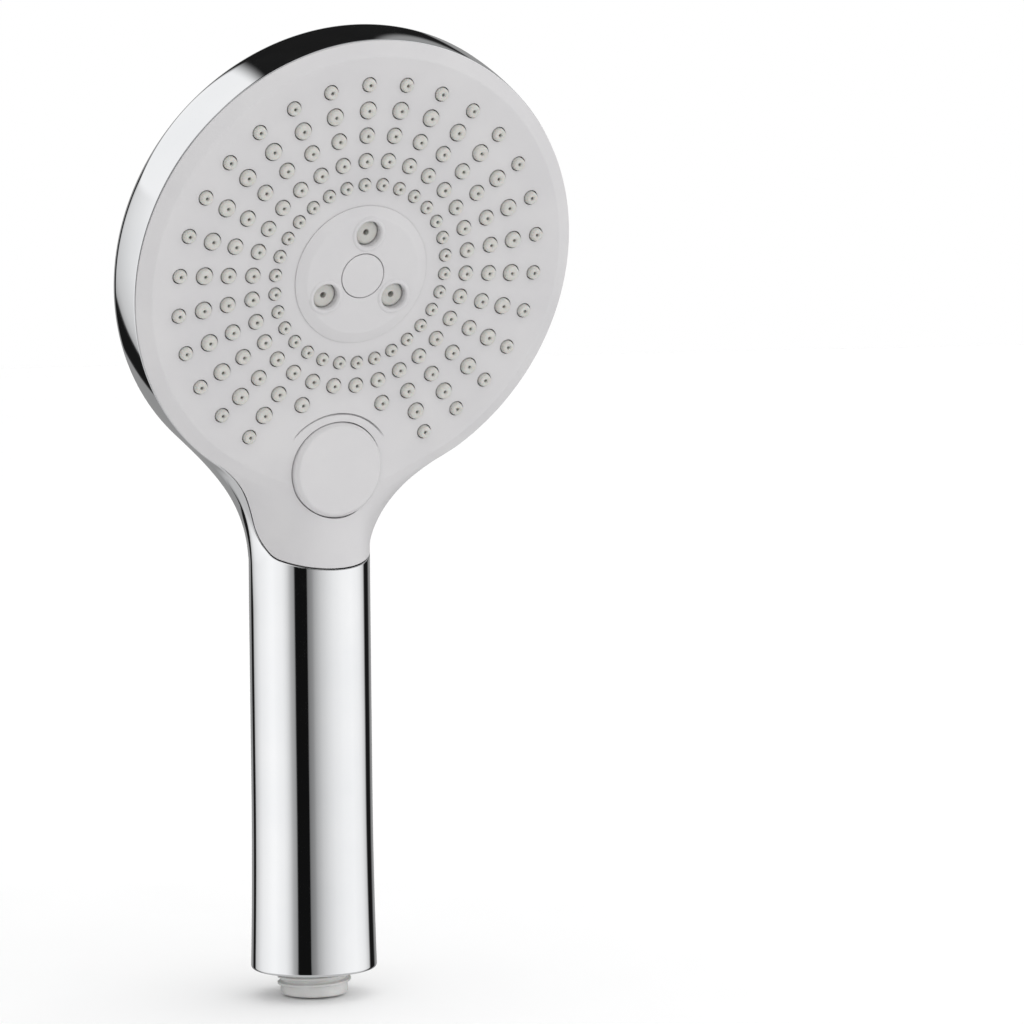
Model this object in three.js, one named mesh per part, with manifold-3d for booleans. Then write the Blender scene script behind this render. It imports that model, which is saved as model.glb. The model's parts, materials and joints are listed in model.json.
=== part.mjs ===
// Handheld shower head with a push-button spray selector, as an assembly of separate solids.
// Millimetres, +Z up along the handle. The origin is the centre of the inlet's threaded end.
// The spray face looks towards -Y and leans forward, so that it points down a little.

import * as THREE from 'three';
import { ParametricGeometry } from 'three/addons/geometries/ParametricGeometry.js';
import { mergeVertices } from 'three/addons/utils/BufferGeometryUtils.js';
import Module from 'manifold-3d';

const wasm = await Module();
wasm.setup();

// ---------- Driving dimensions ----------

const GAP = 0.3;
const WALL = 2.4;

// Spray face. Depths are measured back from a plane just in front of the face plate.
const FACE_TILT = THREE.MathUtils.degToRad(19.1);
const FACE_CENTRE = new THREE.Vector3(0, -34.54, 203.88);
const NOZZLE_TIP = -1;
const PLATE_FRONT = 0.3;
const PLATE_BACK = 3.6;
const PLATE_WALL = 2.3;
const FLAT_RADIUS = 61.7;
const SEAM_RADIUS = 65.8;
const SEAM_DEPTH = 2.1;
const RIM_RADIUS = 66.7;
const RIM_DEPTH = 14.3;
const HEAD_BACK = 24;
const HEAD_BACK_CROWN = 2.5;
const HEAD_BACK_EDGE = 8;
const HEAD_MIDDLE = 12;

// Handle and neck.
const HANDLE_RADIUS = 17.15;
const HANDLE_FOOT = 7.3;
const HANDLE_FOOT_FLARE = 0.75;
const HANDLE_FLARE_END = 60;
const HANDLE_FOOT_EDGE = 1;
const HANDLE_TOP = 148;
const NECK_BACK_START = 112;
const NECK_BACK_END = 165;
const NECK_BACK_DEPTH = 8.5;
const NECK_BLEND_FRONT = 14;
const NECK_BLEND_SIDE = 28;
const NECK_BLEND_FROM = -3;
const NECK_BLEND_TO = 8;

// The spine that the outer form is built round, and the steps of the sections along it.
const SPINE_BEND_TOP = -50;
const SPINE_BEND_CORNER = -70.9;
const SPINE_BEND_BOTTOM = -92;
const SPINE_BEND_FOOT = 120;
const HANDLE_SECTIONS = [40, 66, 92, 110];
const NECK_START = -88;
const NECK_RISE = 62;
const NECK_RISE_GROWTH = 26;
const NECK_SPLAY = -3;
const FAN_SPLAY = -55;
const FAN_END = 90;

// Seam round the neck, along the face's height. It dips back at the sides and ends below the button.
const SEAM_STRAIGHT_END = -54;
const SEAM_DIP = -75;
const SEAM_DIP_DEPTH = 5.4;
const SEAM_END = -83;

// Nozzles: rings of one pitch, with none in front of the button.
const NOZZLE_PITCH = 12;
const NOZZLE_RINGS = [
  { radius: 25.86, stud: 1.65, missing: 0 },
  { radius: 32.65, stud: 2.0, missing: 0 },
  { radius: 39.85, stud: 2.05, missing: 2 },
  { radius: 46.96, stud: 2.25, missing: 4 },
  { radius: 54.17, stud: 1.85, missing: 4 },
];
const NOZZLE_SIDES = 5;
const MAT_FRONT = 3.9;
const MAT_BACK = 5.4;
const MAT_RADIUS = 60;
const PLUG_RADIUS = 62.5;

// Centre disc with its three massage nozzles, cap and screw.
const DISC_RADIUS = 19.9;
const DISC_TOP_RADIUS = 17.3;
const DISC_FRONT = -1.1;
const DISC_PLUG_RADIUS = 17.2;
const DISC_BACK = 5.4;
const CAP_RADIUS = 6.25;
const CAP_BACK = 0.9;
const JET_CIRCLE = 12;
const JET_RADIUS = 3.4;
const JET_HOLE = 0.85;
const JET_FRONT = 0.5;
const JET_COLLAR = 5.1;
const SCREW_HEAD_RADIUS = 3.9;
const SCREW_HEAD_BACK = 2.9;
const SCREW_SHANK_RADIUS = 1.75;
const SCREW_SOCKET = 1.4;
const SCREW_TIP = 13.2;

// Water chamber behind the nozzles, with a notch that clears the selector.
const CHAMBER_RADIUS = 58.2;
const NOTCH_CENTRE = -56.5;
const NOTCH_RADIUS = 17.3;
const CHAMBER_WALL = 1.8;
const DIVIDER_FRONT = 5.7;
const DIVIDER_BACK = 7.7;
const ZONE_WALL_BACK = 15.3;
const SEAL_BACK = 9;
const HOUSING_FLOOR = 15.6;
const HOUSING_BACK = 17.2;
const ZONE_RADII = [21.5, 36.2];
const ZONE_WALL = 1.4;
const ZONE_PORTS = [
  { radius: 14, count: 3 },
  { radius: 29, count: 6 },
  { radius: 47, count: 8 },
];
const ZONE_PORT_RADIUS = 1.6;
const HUB_RADIUS = 4.2;
const POST_CIRCLE = 50;
const POST_ANGLES = [0, 60, 120, 180, 225, 315];
const POST_RADIUS = 3.1;
const POST_SCREW_HOLE = 1.5;
const POST_SCREW_SHANK = 1.2;
const POST_SCREW_HEAD = 2.7;
const PIPE_DEPTH = 13.3;
const PIPE_RADIUS = 2;
const PIPE_BORE = 1.3;

// Push-button selector. Depths are measured inwards from the button's face.
const BUTTON_CENTRE = new THREE.Vector3(0, -20.3, 149.5);
const BUTTON_TILT = THREE.MathUtils.degToRad(8);
const BUTTON_RADIUS = 13.5;
const BUTTON_HOLE = 13.9;
const BUTTON_EDGE = 1.2;
const BUTTON_SKIRT = 6.5;
const BUTTON_WALL = 1.5;
const BUTTON_ROOF = 1.7;
const BUTTON_SLEEVE = 4.7;
const BUTTON_SLEEVE_END = 6;
const GUIDE_RADIUS = 15.4;
const GUIDE_DEPTH = 9.5;
const PLUNGER_RADIUS = 3;
const PLUNGER_BORE = 3.35;
const PLUNGER_TIP = 15.4;
const SPRING_RADIUS = 6;
const SPRING_WIRE = 0.5;
const SPRING_TURNS = 4;
const SEAL_SEAT_RADIUS = 4.9;
const VALVE_RADIUS = 12.9;
const VALVE_CHAMBER = 10.5;
const VALVE_FRONT = 11.7;
const VALVE_SPLIT = 14;
const ROTOR_BACK = 18.4;
const VALVE_FLOOR = 20.9;
const VALVE_BACK = 24;
const PORT_CIRCLE = 6.8;
const PORT_RADIUS = 2;

// Inlet: a G1/2 male thread on the end of the inner water tube.
const THREAD_RADIUS = 10.45;
const THREAD_ROOT = 9.3;
const THREAD_PITCH = 1.814;
const THREAD_LENGTH = 7.4;
const INLET_BORE = 6.5;
const INLET_BORE_DEPTH = 20;
const COLLAR_RADIUS = 11.2;
const FLANGE_RADIUS = 14.2;
const FOOT_WALL = 3;
const TUBE_RADIUS = 6.5;
const TUBE_BORE = 3.9;
const TUBE_TOP = 133;
const SOCKET_RADIUS = 8.6;
const SOCKET_BOTTOM = 122;
const O_RING_HEIGHTS = [125.4, 129.8];
const O_RING_GROOVE = 5;
const O_RING_WIRE = 0.66;
const SOCKET_TOP = 144;
const PASSAGE_RADIUS = 2.8;
const SHOULDER_RADIUS = 9;
const SCREEN_HOLES = [[0, 1], [2, 5], [4.2, 9]];
const SCREEN_BOTTOM = 13;
const REGULATOR_BOTTOM = 16.6;
const REGULATOR_TOP = 19.4;
const REGULATOR_BORE = 1.6;

// ---------- Materials ----------

function material(color, roughness, metalness = 0) {
  return new THREE.MeshStandardMaterial({ color, roughness, metalness });
}

const CHROME = 0xd9dcde;
const WHITE = 0xe6e4e4;
const SILICONE = 0xbcbcb8;
const INNER_PLASTIC = 0xdad9d2;
const STEEL = 0xb4b7ba;
const SEAL = 0x3a3a3a;

// ---------- Solids ----------

// Makes a solid of a closed geometry. A profile drawn the other way round is turned to face out.
function solidOf(geometry) {
  const bare = geometry.clone();
  bare.deleteAttribute('normal');
  bare.deleteAttribute('uv');
  const merged = mergeVertices(bare, 1e-4);
  const kept = [];
  const index = merged.index.array;
  for (let i = 0; i < index.length; i += 3) {
    const [a, b, c] = [index[i], index[i + 1], index[i + 2]];
    if (a !== b && b !== c && c !== a) {
      kept.push(a, b, c);
    }
  }
  const vertProperties = merged.attributes.position.array;
  const build = (triVerts) => new wasm.Manifold(new wasm.Mesh({ numProp: 3, vertProperties, triVerts }));
  const made = build(new Uint32Array(kept));
  return made.volume() < 0 ? build(new Uint32Array(kept).reverse()) : made;
}

function geometryOf(solid) {
  const mesh = solid.getMesh();
  const geometry = new THREE.BufferGeometry();
  geometry.setAttribute('position', new THREE.BufferAttribute(mesh.vertProperties, 3));
  geometry.setIndex(new THREE.BufferAttribute(mesh.triVerts, 1));
  geometry.computeVertexNormals();
  return geometry;
}

// A solid turned about Z from [radius, depth] points, where depth runs towards -Z.
function turned(profile, segments = 32) {
  const points = profile.map(([radius, depth]) => new THREE.Vector2(radius, -depth));
  return solidOf(new THREE.LatheGeometry(points, segments).rotateX(Math.PI / 2));
}

// A round bar along Z between two depths.
function bar(radius, from, to, sides = 24, x = 0, y = 0) {
  const length = Math.abs(to - from);
  const geometry = new THREE.CylinderGeometry(radius, radius, length, sides);
  return solidOf(geometry.rotateX(Math.PI / 2).translate(x, y, -(from + to) / 2));
}

function ring(outer, inner, from, to, segments = 32) {
  const profile = [[inner, from], [outer, from], [outer, to], [inner, to], [inner, from]];
  return turned(profile, segments);
}

function slab(shape, from, to) {
  const options = { depth: to - from, bevelEnabled: false, curveSegments: 9 };
  return solidOf(new THREE.ExtrudeGeometry(shape, options).translate(0, 0, -to));
}

function joined(solids) {
  return solids.reduce((whole, solid) => whole.add(solid));
}

function drilled(solid, cutters) {
  return solid.subtract(joined(cutters));
}

function polar(radius, degrees) {
  const angle = THREE.MathUtils.degToRad(degrees);
  return [radius * Math.cos(angle), radius * Math.sin(angle)];
}

function frameAt(centre, tilt) {
  const turn = new THREE.Matrix4().makeRotationX(Math.PI / 2 + tilt);
  return turn.setPosition(centre);
}

const FACE_FRAME = frameAt(FACE_CENTRE, FACE_TILT);
const BUTTON_FRAME = frameAt(BUTTON_CENTRE, BUTTON_TILT);
const TO_FACE = FACE_FRAME.clone().invert();
const BUTTON_TO_FACE = TO_FACE.clone().multiply(BUTTON_FRAME);

function moved(solid, matrix) {
  return solidOf(geometryOf(solid).applyMatrix4(matrix));
}

// ---------- Outer form: a tilted disc blended into an upright handle ----------

function smoothMin(a, b, reach) {
  const share = Math.max(reach - Math.abs(a - b), 0) / reach;
  return Math.min(a, b) - (share * share * reach) / 4;
}

function roundedCorner(across, along, edge) {
  const outside = Math.hypot(Math.max(across + edge, 0), Math.max(along + edge, 0));
  return Math.min(Math.max(across, along) + edge, 0) + outside - edge;
}

// Distance to the disc, from the radius about its axis and the depth.
function headDistance(radius, depth) {
  const taper = (RIM_RADIUS - SEAM_RADIUS) / (RIM_DEPTH - SEAM_DEPTH);
  const wall = radius - Math.min(SEAM_RADIUS + taper * (depth - SEAM_DEPTH), RIM_RADIUS);
  const back = depth - HEAD_BACK + HEAD_BACK_CROWN * (radius / RIM_RADIUS) ** 2;
  const slope = Math.atan2(SEAM_DEPTH - PLATE_FRONT, SEAM_RADIUS - FLAT_RADIUS);
  const bevel = (radius - FLAT_RADIUS) * Math.sin(slope) - (depth - PLATE_FRONT) * Math.cos(slope);
  return Math.max(roundedCorner(wall, back, HEAD_BACK_EDGE), PLATE_FRONT - depth, bevel);
}

function handleRadius(z) {
  const flare = Math.max(HANDLE_FLARE_END - z, 0) / (HANDLE_FLARE_END - HANDLE_FOOT);
  return HANDLE_RADIUS + HANDLE_FOOT_FLARE * flare * flare;
}

// Distance to the handle, a round bar with a ball end inside the head. Its back thins towards the head.
function handleDistance(x, y, z) {
  const thinning = THREE.MathUtils.smoothstep(z, NECK_BACK_START, NECK_BACK_END);
  const backDepth = THREE.MathUtils.lerp(HANDLE_RADIUS, NECK_BACK_DEPTH, thinning);
  const across = y > 0 ? (y * HANDLE_RADIUS) / backDepth : y;
  return Math.hypot(x, across, Math.max(z - HANDLE_TOP, 0)) - handleRadius(z);
}

function formDistance(p) {
  const y = p.y - FACE_CENTRE.y;
  const z = p.z - FACE_CENTRE.z;
  const along = z * Math.cos(FACE_TILT) - y * Math.sin(FACE_TILT);
  const depth = y * Math.cos(FACE_TILT) + z * Math.sin(FACE_TILT);
  const side = THREE.MathUtils.smoothstep(depth, NECK_BLEND_FROM, NECK_BLEND_TO);
  const reach = THREE.MathUtils.lerp(NECK_BLEND_FRONT, NECK_BLEND_SIDE, side);
  return smoothMin(headDistance(Math.hypot(p.x, along), depth), handleDistance(p.x, p.y, p.z), reach);
}

// How far a ray from inside the form runs before it is the given distance short of the surface.
function reachOf(origin, direction, inset) {
  const probe = (t) => formDistance(direction.clone().multiplyScalar(t).add(origin)) + inset;
  let inside = 0;
  let outside = 2;
  while (probe(outside) < 0) {
    inside = outside;
    outside += 2;
  }
  for (let i = 0; i < 24; i += 1) {
    const middle = (inside + outside) / 2;
    if (probe(middle) < 0) {
      inside = middle;
    } else {
      outside = middle;
    }
  }
  return inside;
}

// The spine runs up the handle's axis and bends into the middle of the disc.
function facePoint(along, depth) {
  return new THREE.Vector3(0, along, -depth).applyMatrix4(FACE_FRAME);
}

const SPINE_BEND = new THREE.QuadraticBezierCurve3(
  facePoint(SPINE_BEND_TOP, HEAD_MIDDLE),
  new THREE.Vector3(0, 0, facePoint(SPINE_BEND_CORNER, HEAD_MIDDLE).z),
  new THREE.Vector3(0, 0, SPINE_BEND_FOOT),
);

function spineStation(along, splay) {
  const bend = THREE.MathUtils.clamp((SPINE_BEND_TOP - along) / (SPINE_BEND_TOP - SPINE_BEND_BOTTOM), 0, 1);
  const straight = along > SPINE_BEND_TOP;
  const origin = straight ? facePoint(along, HEAD_MIDDLE) : SPINE_BEND.getPoint(bend);
  return { origin, tilt: FACE_TILT * (1 - bend), splay };
}

// Stations run from the foot to the top of the head. In the head they fan out from its centre.
function formStations({ neckSteps, fanSteps }) {
  const stations = HANDLE_SECTIONS.map((z) => ({ origin: new THREE.Vector3(0, 0, z), tilt: 0, splay: 0 }));
  for (let i = 0; i < neckSteps; i += 1) {
    const t = i / neckSteps;
    const splay = THREE.MathUtils.lerp(NECK_SPLAY, FAN_SPLAY, t);
    const along = NECK_START + NECK_RISE * t + NECK_RISE_GROWTH * t * t;
    stations.push(spineStation(along, THREE.MathUtils.degToRad(splay)));
  }
  for (let i = 0; i <= fanSteps; i += 1) {
    const splay = THREE.MathUtils.lerp(FAN_SPLAY, FAN_END, i / fanSteps);
    stations.push(spineStation(0, THREE.MathUtils.degToRad(splay)));
  }
  return stations;
}

function fullTurn(half) {
  return half.concat(half.slice(0, -1).reverse().map((angle) => 360 - angle));
}

// Turns run from the front (0) past the right side (90) to the back.
// On the outside two of them meet the bevel's edges.
const OUTSIDE = {
  neckSteps: 8,
  fanSteps: 15,
  turns: fullTurn([0, 18, 34, 42.8, 49.4, 62, 78, 90, 104, 117, 128, 137, 147, 162, 180]),
};
const INSIDE = { neckSteps: 5, fanSteps: 11, turns: fullTurn([0, 24, 44, 66, 90, 113, 135, 158, 180]) };

// One ring of points round a station, where the form is met by rays from the spine.
function stationRing(station, inset, turns) {
  const front = new THREE.Vector3(0, -Math.cos(station.tilt), -Math.sin(station.tilt));
  const along = new THREE.Vector3(0, -Math.sin(station.tilt), Math.cos(station.tilt));
  const sideways = (sign) => new THREE.Vector3(sign * Math.cos(station.splay), 0, 0)
    .addScaledVector(along, Math.sin(station.splay));
  const frontReach = reachOf(station.origin, front, inset);
  const backReach = reachOf(station.origin, front.clone().negate(), inset);
  const sideReach = reachOf(station.origin, sideways(1), inset);
  return turns.map((degrees) => {
    const turn = THREE.MathUtils.degToRad(degrees);
    const depth = Math.cos(turn) * (Math.cos(turn) > 0 ? frontReach : backReach);
    const direction = sideways(Math.sign(Math.sin(turn)) || 1)
      .multiplyScalar(Math.abs(Math.sin(turn)) * sideReach)
      .addScaledVector(front, depth)
      .normalize();
    return direction.multiplyScalar(reachOf(station.origin, direction, inset)).add(station.origin);
  });
}

// A round ring of points at the handle's foot.
function footRing(radius, z, turns) {
  return turns.map((degrees) => {
    const turn = THREE.MathUtils.degToRad(degrees);
    return new THREE.Vector3(radius * Math.sin(turn), -radius * Math.cos(turn), z);
  });
}

function footRings(inset, turns) {
  const floor = inset > 0 ? HANDLE_FOOT + FOOT_WALL : HANDLE_FOOT;
  const edge = Math.max(HANDLE_FOOT_EDGE - inset, 0.5);
  const corner = handleRadius(HANDLE_FOOT) - inset - edge;
  const rings = [footRing(0, floor, turns)];
  for (const degrees of [0, 30, 60, 90]) {
    const turn = THREE.MathUtils.degToRad(degrees);
    rings.push(footRing(corner + edge * Math.sin(turn), floor + edge * (1 - Math.cos(turn)), turns));
  }
  return rings;
}

// The whole outer form, or the space a given distance inside it, in the spray face's frame.
function form(inset) {
  const detail = inset > 0 ? INSIDE : OUTSIDE;
  const sections = formStations(detail).map((station) => stationRing(station, inset, detail.turns));
  const rings = footRings(inset, detail.turns).concat(sections);
  const stacks = rings.length - 1;
  const slices = detail.turns.length - 1;
  const place = (u, v, target) => {
    target.copy(rings[Math.round(v * stacks)][Math.round(u * slices) % slices]);
  };
  return solidOf(new ParametricGeometry(place, slices, stacks).applyMatrix4(TO_FACE));
}

// ---------- Seam between the face plate and the body ----------

// The space in front of the seam: along the rim, back round the neck's sides, then out below the button.
function seamSpace(offset) {
  const rim = SEAM_DEPTH + offset;
  const dip = SEAM_DIP_DEPTH + offset;
  const end = SEAM_END - offset;
  const outline = new THREE.Shape();
  outline.moveTo(90, -rim);
  outline.lineTo(90, 60);
  outline.lineTo(end, 60);
  outline.lineTo(end, 3);
  outline.bezierCurveTo(end, -2.2, SEAM_DIP - 4.5 - offset, -dip, SEAM_DIP, -dip);
  outline.bezierCurveTo(SEAM_DIP + 7, -dip, SEAM_STRAIGHT_END - 7, -rim - 0.5, SEAM_STRAIGHT_END, -rim);
  outline.closePath();
  const width = 180;
  const options = { depth: width, bevelEnabled: false, curveSegments: 8 };
  const geometry = new THREE.ExtrudeGeometry(outline, options);
  const across = new THREE.Matrix4().makeBasis(
    new THREE.Vector3(0, 1, 0),
    new THREE.Vector3(0, 0, 1),
    new THREE.Vector3(1, 0, 0),
  );
  return solidOf(geometry.applyMatrix4(across).translate(-width / 2, 0, 0));
}

const OUTER_FORM = form(0);
const SPACE_IN_BODY = form(WALL);

function bodyShell() {
  const footHole = moved(bar(COLLAR_RADIUS + GAP, 4, -16, 24), TO_FACE);
  const plugSpace = bar(PLUG_RADIUS + GAP + 0.1, 0, 9, 60);
  return drilled(OUTER_FORM, [seamSpace(GAP), SPACE_IN_BODY, footHole, plugSpace]);
}

// ---------- Face plate, nozzle mat and centre disc ----------

function nozzleSites() {
  const sites = [];
  for (const { radius, stud, missing } of NOZZLE_RINGS) {
    const first = 270 + (NOZZLE_PITCH * (missing + 1)) / 2;
    const count = 360 / NOZZLE_PITCH - missing;
    for (let i = 0; i < count; i += 1) {
      const [x, y] = polar(radius, first + NOZZLE_PITCH * i);
      sites.push({ x, y, stud });
    }
  }
  return sites;
}

function facePlate() {
  const skin = OUTER_FORM.intersect(seamSpace(0)).subtract(form(PLATE_WALL));
  const plug = bar(PLUG_RADIUS, SEAM_DEPTH - 0.4, PLATE_BACK, 60);
  const guide = moved(bar(GUIDE_RADIUS, 2, GUIDE_DEPTH, 32), BUTTON_TO_FACE);
  const flat = bar(FLAT_RADIUS - 0.1, PLATE_FRONT - 0.03, SEAM_DEPTH, 60);
  const whole = joined([skin, flat, plug.subtract(chamberNotch(NOTCH_RADIUS, 0, PLATE_BACK + 1))]);
  const withGuide = whole.add(guide.intersect(OUTER_FORM));
  const buttonHole = moved(bar(BUTTON_HOLE, -20, GUIDE_DEPTH + 8, 32), BUTTON_TO_FACE);
  const holes = nozzleSites().map(({ x, y, stud }) => bar(stud + GAP + 0.05, -3, 6, NOZZLE_SIDES, x, y));
  const centreHole = bar(DISC_PLUG_RADIUS + GAP + 0.1, -4, 6, 48);
  return drilled(withGuide, [...holes, centreHole, buttonHole]);
}

// The space that the selector needs at the lower edge of everything in the head.
function chamberNotch(radius, from, to) {
  const below = new THREE.Shape();
  below.moveTo(radius, NOTCH_CENTRE);
  below.absarc(0, NOTCH_CENTRE, radius, 0, Math.PI, false);
  below.lineTo(-radius, -80);
  below.lineTo(radius, -80);
  below.closePath();
  return slab(below, from, to);
}

function nozzleMat() {
  const sheet = bar(MAT_RADIUS, MAT_FRONT, MAT_BACK, 48);
  const root = MAT_FRONT + 0.5;
  const studs = nozzleSites().map(({ x, y, stud }) => bar(stud, NOZZLE_TIP, root, NOZZLE_SIDES, x, y));
  const centreHole = bar(DISC_PLUG_RADIUS + GAP + 0.1, -1, 8, 36);
  return drilled(joined([sheet, ...studs]), [centreHole, chamberNotch(NOTCH_RADIUS, 3, 8)]);
}

const JET_ANGLES = [90, 210, 330];

function centreDisc() {
  const seat = PLATE_FRONT - GAP;
  const shell = turned([
    [0, DISC_FRONT], [DISC_TOP_RADIUS, DISC_FRONT], [DISC_RADIUS, seat], [DISC_PLUG_RADIUS, seat],
    [DISC_PLUG_RADIUS, DISC_BACK], [0, DISC_BACK],
  ], 32);
  const jets = JET_ANGLES.map((angle) => polar(JET_CIRCLE, angle));
  const collars = jets.map(([x, y]) => bar(JET_COLLAR, DISC_FRONT - 0.35, 0, 16, x, y));
  const jetHoles = jets.map(([x, y]) => bar(JET_RADIUS + GAP, -3, 8, 12, x, y));
  const capSeat = bar(CAP_RADIUS + 0.25, -3, CAP_BACK + 0.2, 24);
  const screwSeat = bar(SCREW_HEAD_RADIUS + GAP, 0, SCREW_HEAD_BACK + GAP, 16);
  const screwHole = bar(SCREW_SHANK_RADIUS + GAP, 0, 8, 12);
  return drilled(joined([shell, ...collars]), [...jetHoles, capSeat, screwSeat, screwHole]);
}

function massageNozzle() {
  return turned([
    [JET_HOLE, JET_FRONT], [JET_RADIUS, JET_FRONT + 0.6], [JET_RADIUS, DISC_BACK], [JET_HOLE, DISC_BACK],
    [JET_HOLE, JET_FRONT],
  ], 12);
}

function centreCap() {
  return turned([
    [0, DISC_FRONT], [CAP_RADIUS - 0.2, DISC_FRONT], [CAP_RADIUS, DISC_FRONT + 0.2], [CAP_RADIUS, CAP_BACK],
    [0, CAP_BACK],
  ], 24);
}

function centreScrew() {
  const socket = bar(SCREW_SOCKET, 0, SCREW_HEAD_BACK - 0.5, 6);
  return turned([
    [0, CAP_BACK + 0.4], [SCREW_HEAD_RADIUS, CAP_BACK + 0.7], [SCREW_HEAD_RADIUS, SCREW_HEAD_BACK],
    [SCREW_SHANK_RADIUS, SCREW_HEAD_BACK], [SCREW_SHANK_RADIUS, SCREW_TIP - 0.8], [0, SCREW_TIP],
  ], 16).subtract(socket);
}

// ---------- Water chamber ----------

// A disc with a round bite out of its lower edge. The two arcs meet at the corners.
function chamberOutline(radius, notch) {
  const y = (radius ** 2 - notch ** 2 + NOTCH_CENTRE ** 2) / (2 * NOTCH_CENTRE);
  const x = Math.sqrt(radius ** 2 - y ** 2);
  const rim = Math.atan2(y, x);
  const lip = Math.atan2(y - NOTCH_CENTRE, x);
  const outline = new THREE.Shape();
  outline.absarc(0, 0, radius, rim, Math.PI - rim, false);
  outline.absarc(0, NOTCH_CENTRE, notch, Math.PI - lip, lip, true);
  outline.closePath();
  return outline;
}

function chamberWall(from, to, inset = 0) {
  const outline = chamberOutline(CHAMBER_RADIUS - inset, NOTCH_RADIUS + inset);
  const wall = CHAMBER_WALL - inset;
  outline.holes.push(chamberOutline(CHAMBER_RADIUS - wall, NOTCH_RADIUS + wall));
  return slab(outline, from, to);
}

function zoneWalls(from, to) {
  return ZONE_RADII.map((radius) => ring(radius + ZONE_WALL / 2, radius - ZONE_WALL / 2, from, to, 20));
}

function distributorPlate() {
  const plate = slab(chamberOutline(CHAMBER_RADIUS, NOTCH_RADIUS), DIVIDER_FRONT, DIVIDER_BACK);
  const base = DIVIDER_BACK - 0.5;
  const places = POST_ANGLES.map((angle) => polar(POST_CIRCLE, angle));
  const posts = places.map(([x, y]) => bar(POST_RADIUS, base, ZONE_WALL_BACK, 12, x, y));
  const hub = bar(HUB_RADIUS, base, ZONE_WALL_BACK, 16);
  const screwHoles = places.map(([x, y]) => bar(POST_SCREW_HOLE, 8.8, 20, 8, x, y));
  const ports = [];
  for (const { radius, count } of ZONE_PORTS) {
    for (let i = 0; i < count; i += 1) {
      ports.push(bar(ZONE_PORT_RADIUS, 4, 9, 5, ...polar(radius, 90 + 360 * (i / count))));
    }
  }
  const whole = joined([plate, hub, ...posts, ...zoneWalls(base, 11.4)]);
  const hubHole = bar(SCREW_SHANK_RADIUS + GAP, 4, 13.8, 12);
  return drilled(whole, [...ports, ...screwHoles, hubHole]).subtract(chamberNotch(NOTCH_RADIUS, 4, 20));
}

function distributorHousing() {
  const floor = slab(chamberOutline(CHAMBER_RADIUS, NOTCH_RADIUS), HOUSING_FLOOR, HOUSING_BACK);
  const wall = chamberWall(SEAL_BACK + GAP, HOUSING_FLOOR + 0.5);
  const places = POST_ANGLES.map((angle) => polar(POST_CIRCLE, angle));
  const screwHoles = places.map(([x, y]) => bar(POST_SCREW_HOLE, 14, 20, 8, x, y));
  const pipeHole = alongFace(PIPE_RADIUS + GAP, -50, -30);
  return drilled(joined([floor, wall, ...zoneWalls(11.7, HOUSING_FLOOR + 0.5)]), [...screwHoles, pipeHole]);
}

// A round bar that runs up the face's own height at the pipe's depth.
function alongFace(radius, from, to) {
  const geometry = new THREE.CylinderGeometry(radius, radius, to - from, 16);
  return solidOf(geometry.translate(0, (from + to) / 2, -PIPE_DEPTH));
}

function transferPipe() {
  return alongFace(PIPE_RADIUS, -45.6, -37.6).subtract(alongFace(PIPE_BORE, -50, -30));
}

function distributorScrew(angle) {
  const [x, y] = polar(POST_CIRCLE, angle);
  const head = bar(POST_SCREW_HEAD, HOUSING_BACK + GAP, HOUSING_BACK + GAP + 1.5, 12, x, y);
  return head.add(bar(POST_SCREW_SHANK, 9.2, HOUSING_BACK + 0.6, 8, x, y));
}

// ---------- Push-button selector ----------

function pushButton() {
  const inner = BUTTON_RADIUS - BUTTON_WALL;
  return turned([
    [0, 0], [BUTTON_RADIUS - BUTTON_EDGE, 0.12], [BUTTON_RADIUS - 0.35, 0.5], [BUTTON_RADIUS, BUTTON_EDGE],
    [BUTTON_RADIUS, BUTTON_SKIRT], [inner, BUTTON_SKIRT], [inner, BUTTON_ROOF], [BUTTON_SLEEVE, BUTTON_ROOF],
    [BUTTON_SLEEVE, BUTTON_SLEEVE_END], [PLUNGER_BORE, BUTTON_SLEEVE_END], [PLUNGER_BORE, BUTTON_ROOF],
    [0, BUTTON_ROOF],
  ], 24);
}

function buttonPlunger() {
  return turned([
    [0, 2], [PLUNGER_RADIUS, 2], [PLUNGER_RADIUS, PLUNGER_TIP - 0.8], [PLUNGER_RADIUS - 0.8, PLUNGER_TIP],
    [0, PLUNGER_TIP],
  ], 16);
}

class SpringPath extends THREE.Curve {
  getPoint(t, target = new THREE.Vector3()) {
    const turn = 2 * Math.PI * SPRING_TURNS * t;
    const depth = THREE.MathUtils.lerp(2.7, GUIDE_DEPTH - 0.6, t);
    return target.set(SPRING_RADIUS * Math.cos(turn), SPRING_RADIUS * Math.sin(turn), -depth);
  }
}

function buttonSpring() {
  const wire = new THREE.Shape();
  wire.absarc(0, 0, SPRING_WIRE, 0, 2 * Math.PI, false);
  const steps = SPRING_TURNS * 9;
  const options = { extrudePath: new SpringPath(), steps, bevelEnabled: false, curveSegments: 3 };
  return solidOf(new THREE.ExtrudeGeometry(wire, options));
}

function buttonRetainer() {
  return ring(GUIDE_RADIUS, PLUNGER_BORE, GUIDE_DEPTH + GAP, VALVE_FRONT - GAP, 24);
}

function valveCover() {
  const sealSeat = VALVE_FRONT + 1.5;
  return turned([
    [SEAL_SEAT_RADIUS, VALVE_FRONT], [VALVE_RADIUS, VALVE_FRONT], [VALVE_RADIUS, VALVE_SPLIT],
    [PLUNGER_BORE, VALVE_SPLIT], [PLUNGER_BORE, sealSeat], [SEAL_SEAT_RADIUS, sealSeat],
    [SEAL_SEAT_RADIUS, VALVE_FRONT],
  ], 24);
}

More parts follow.
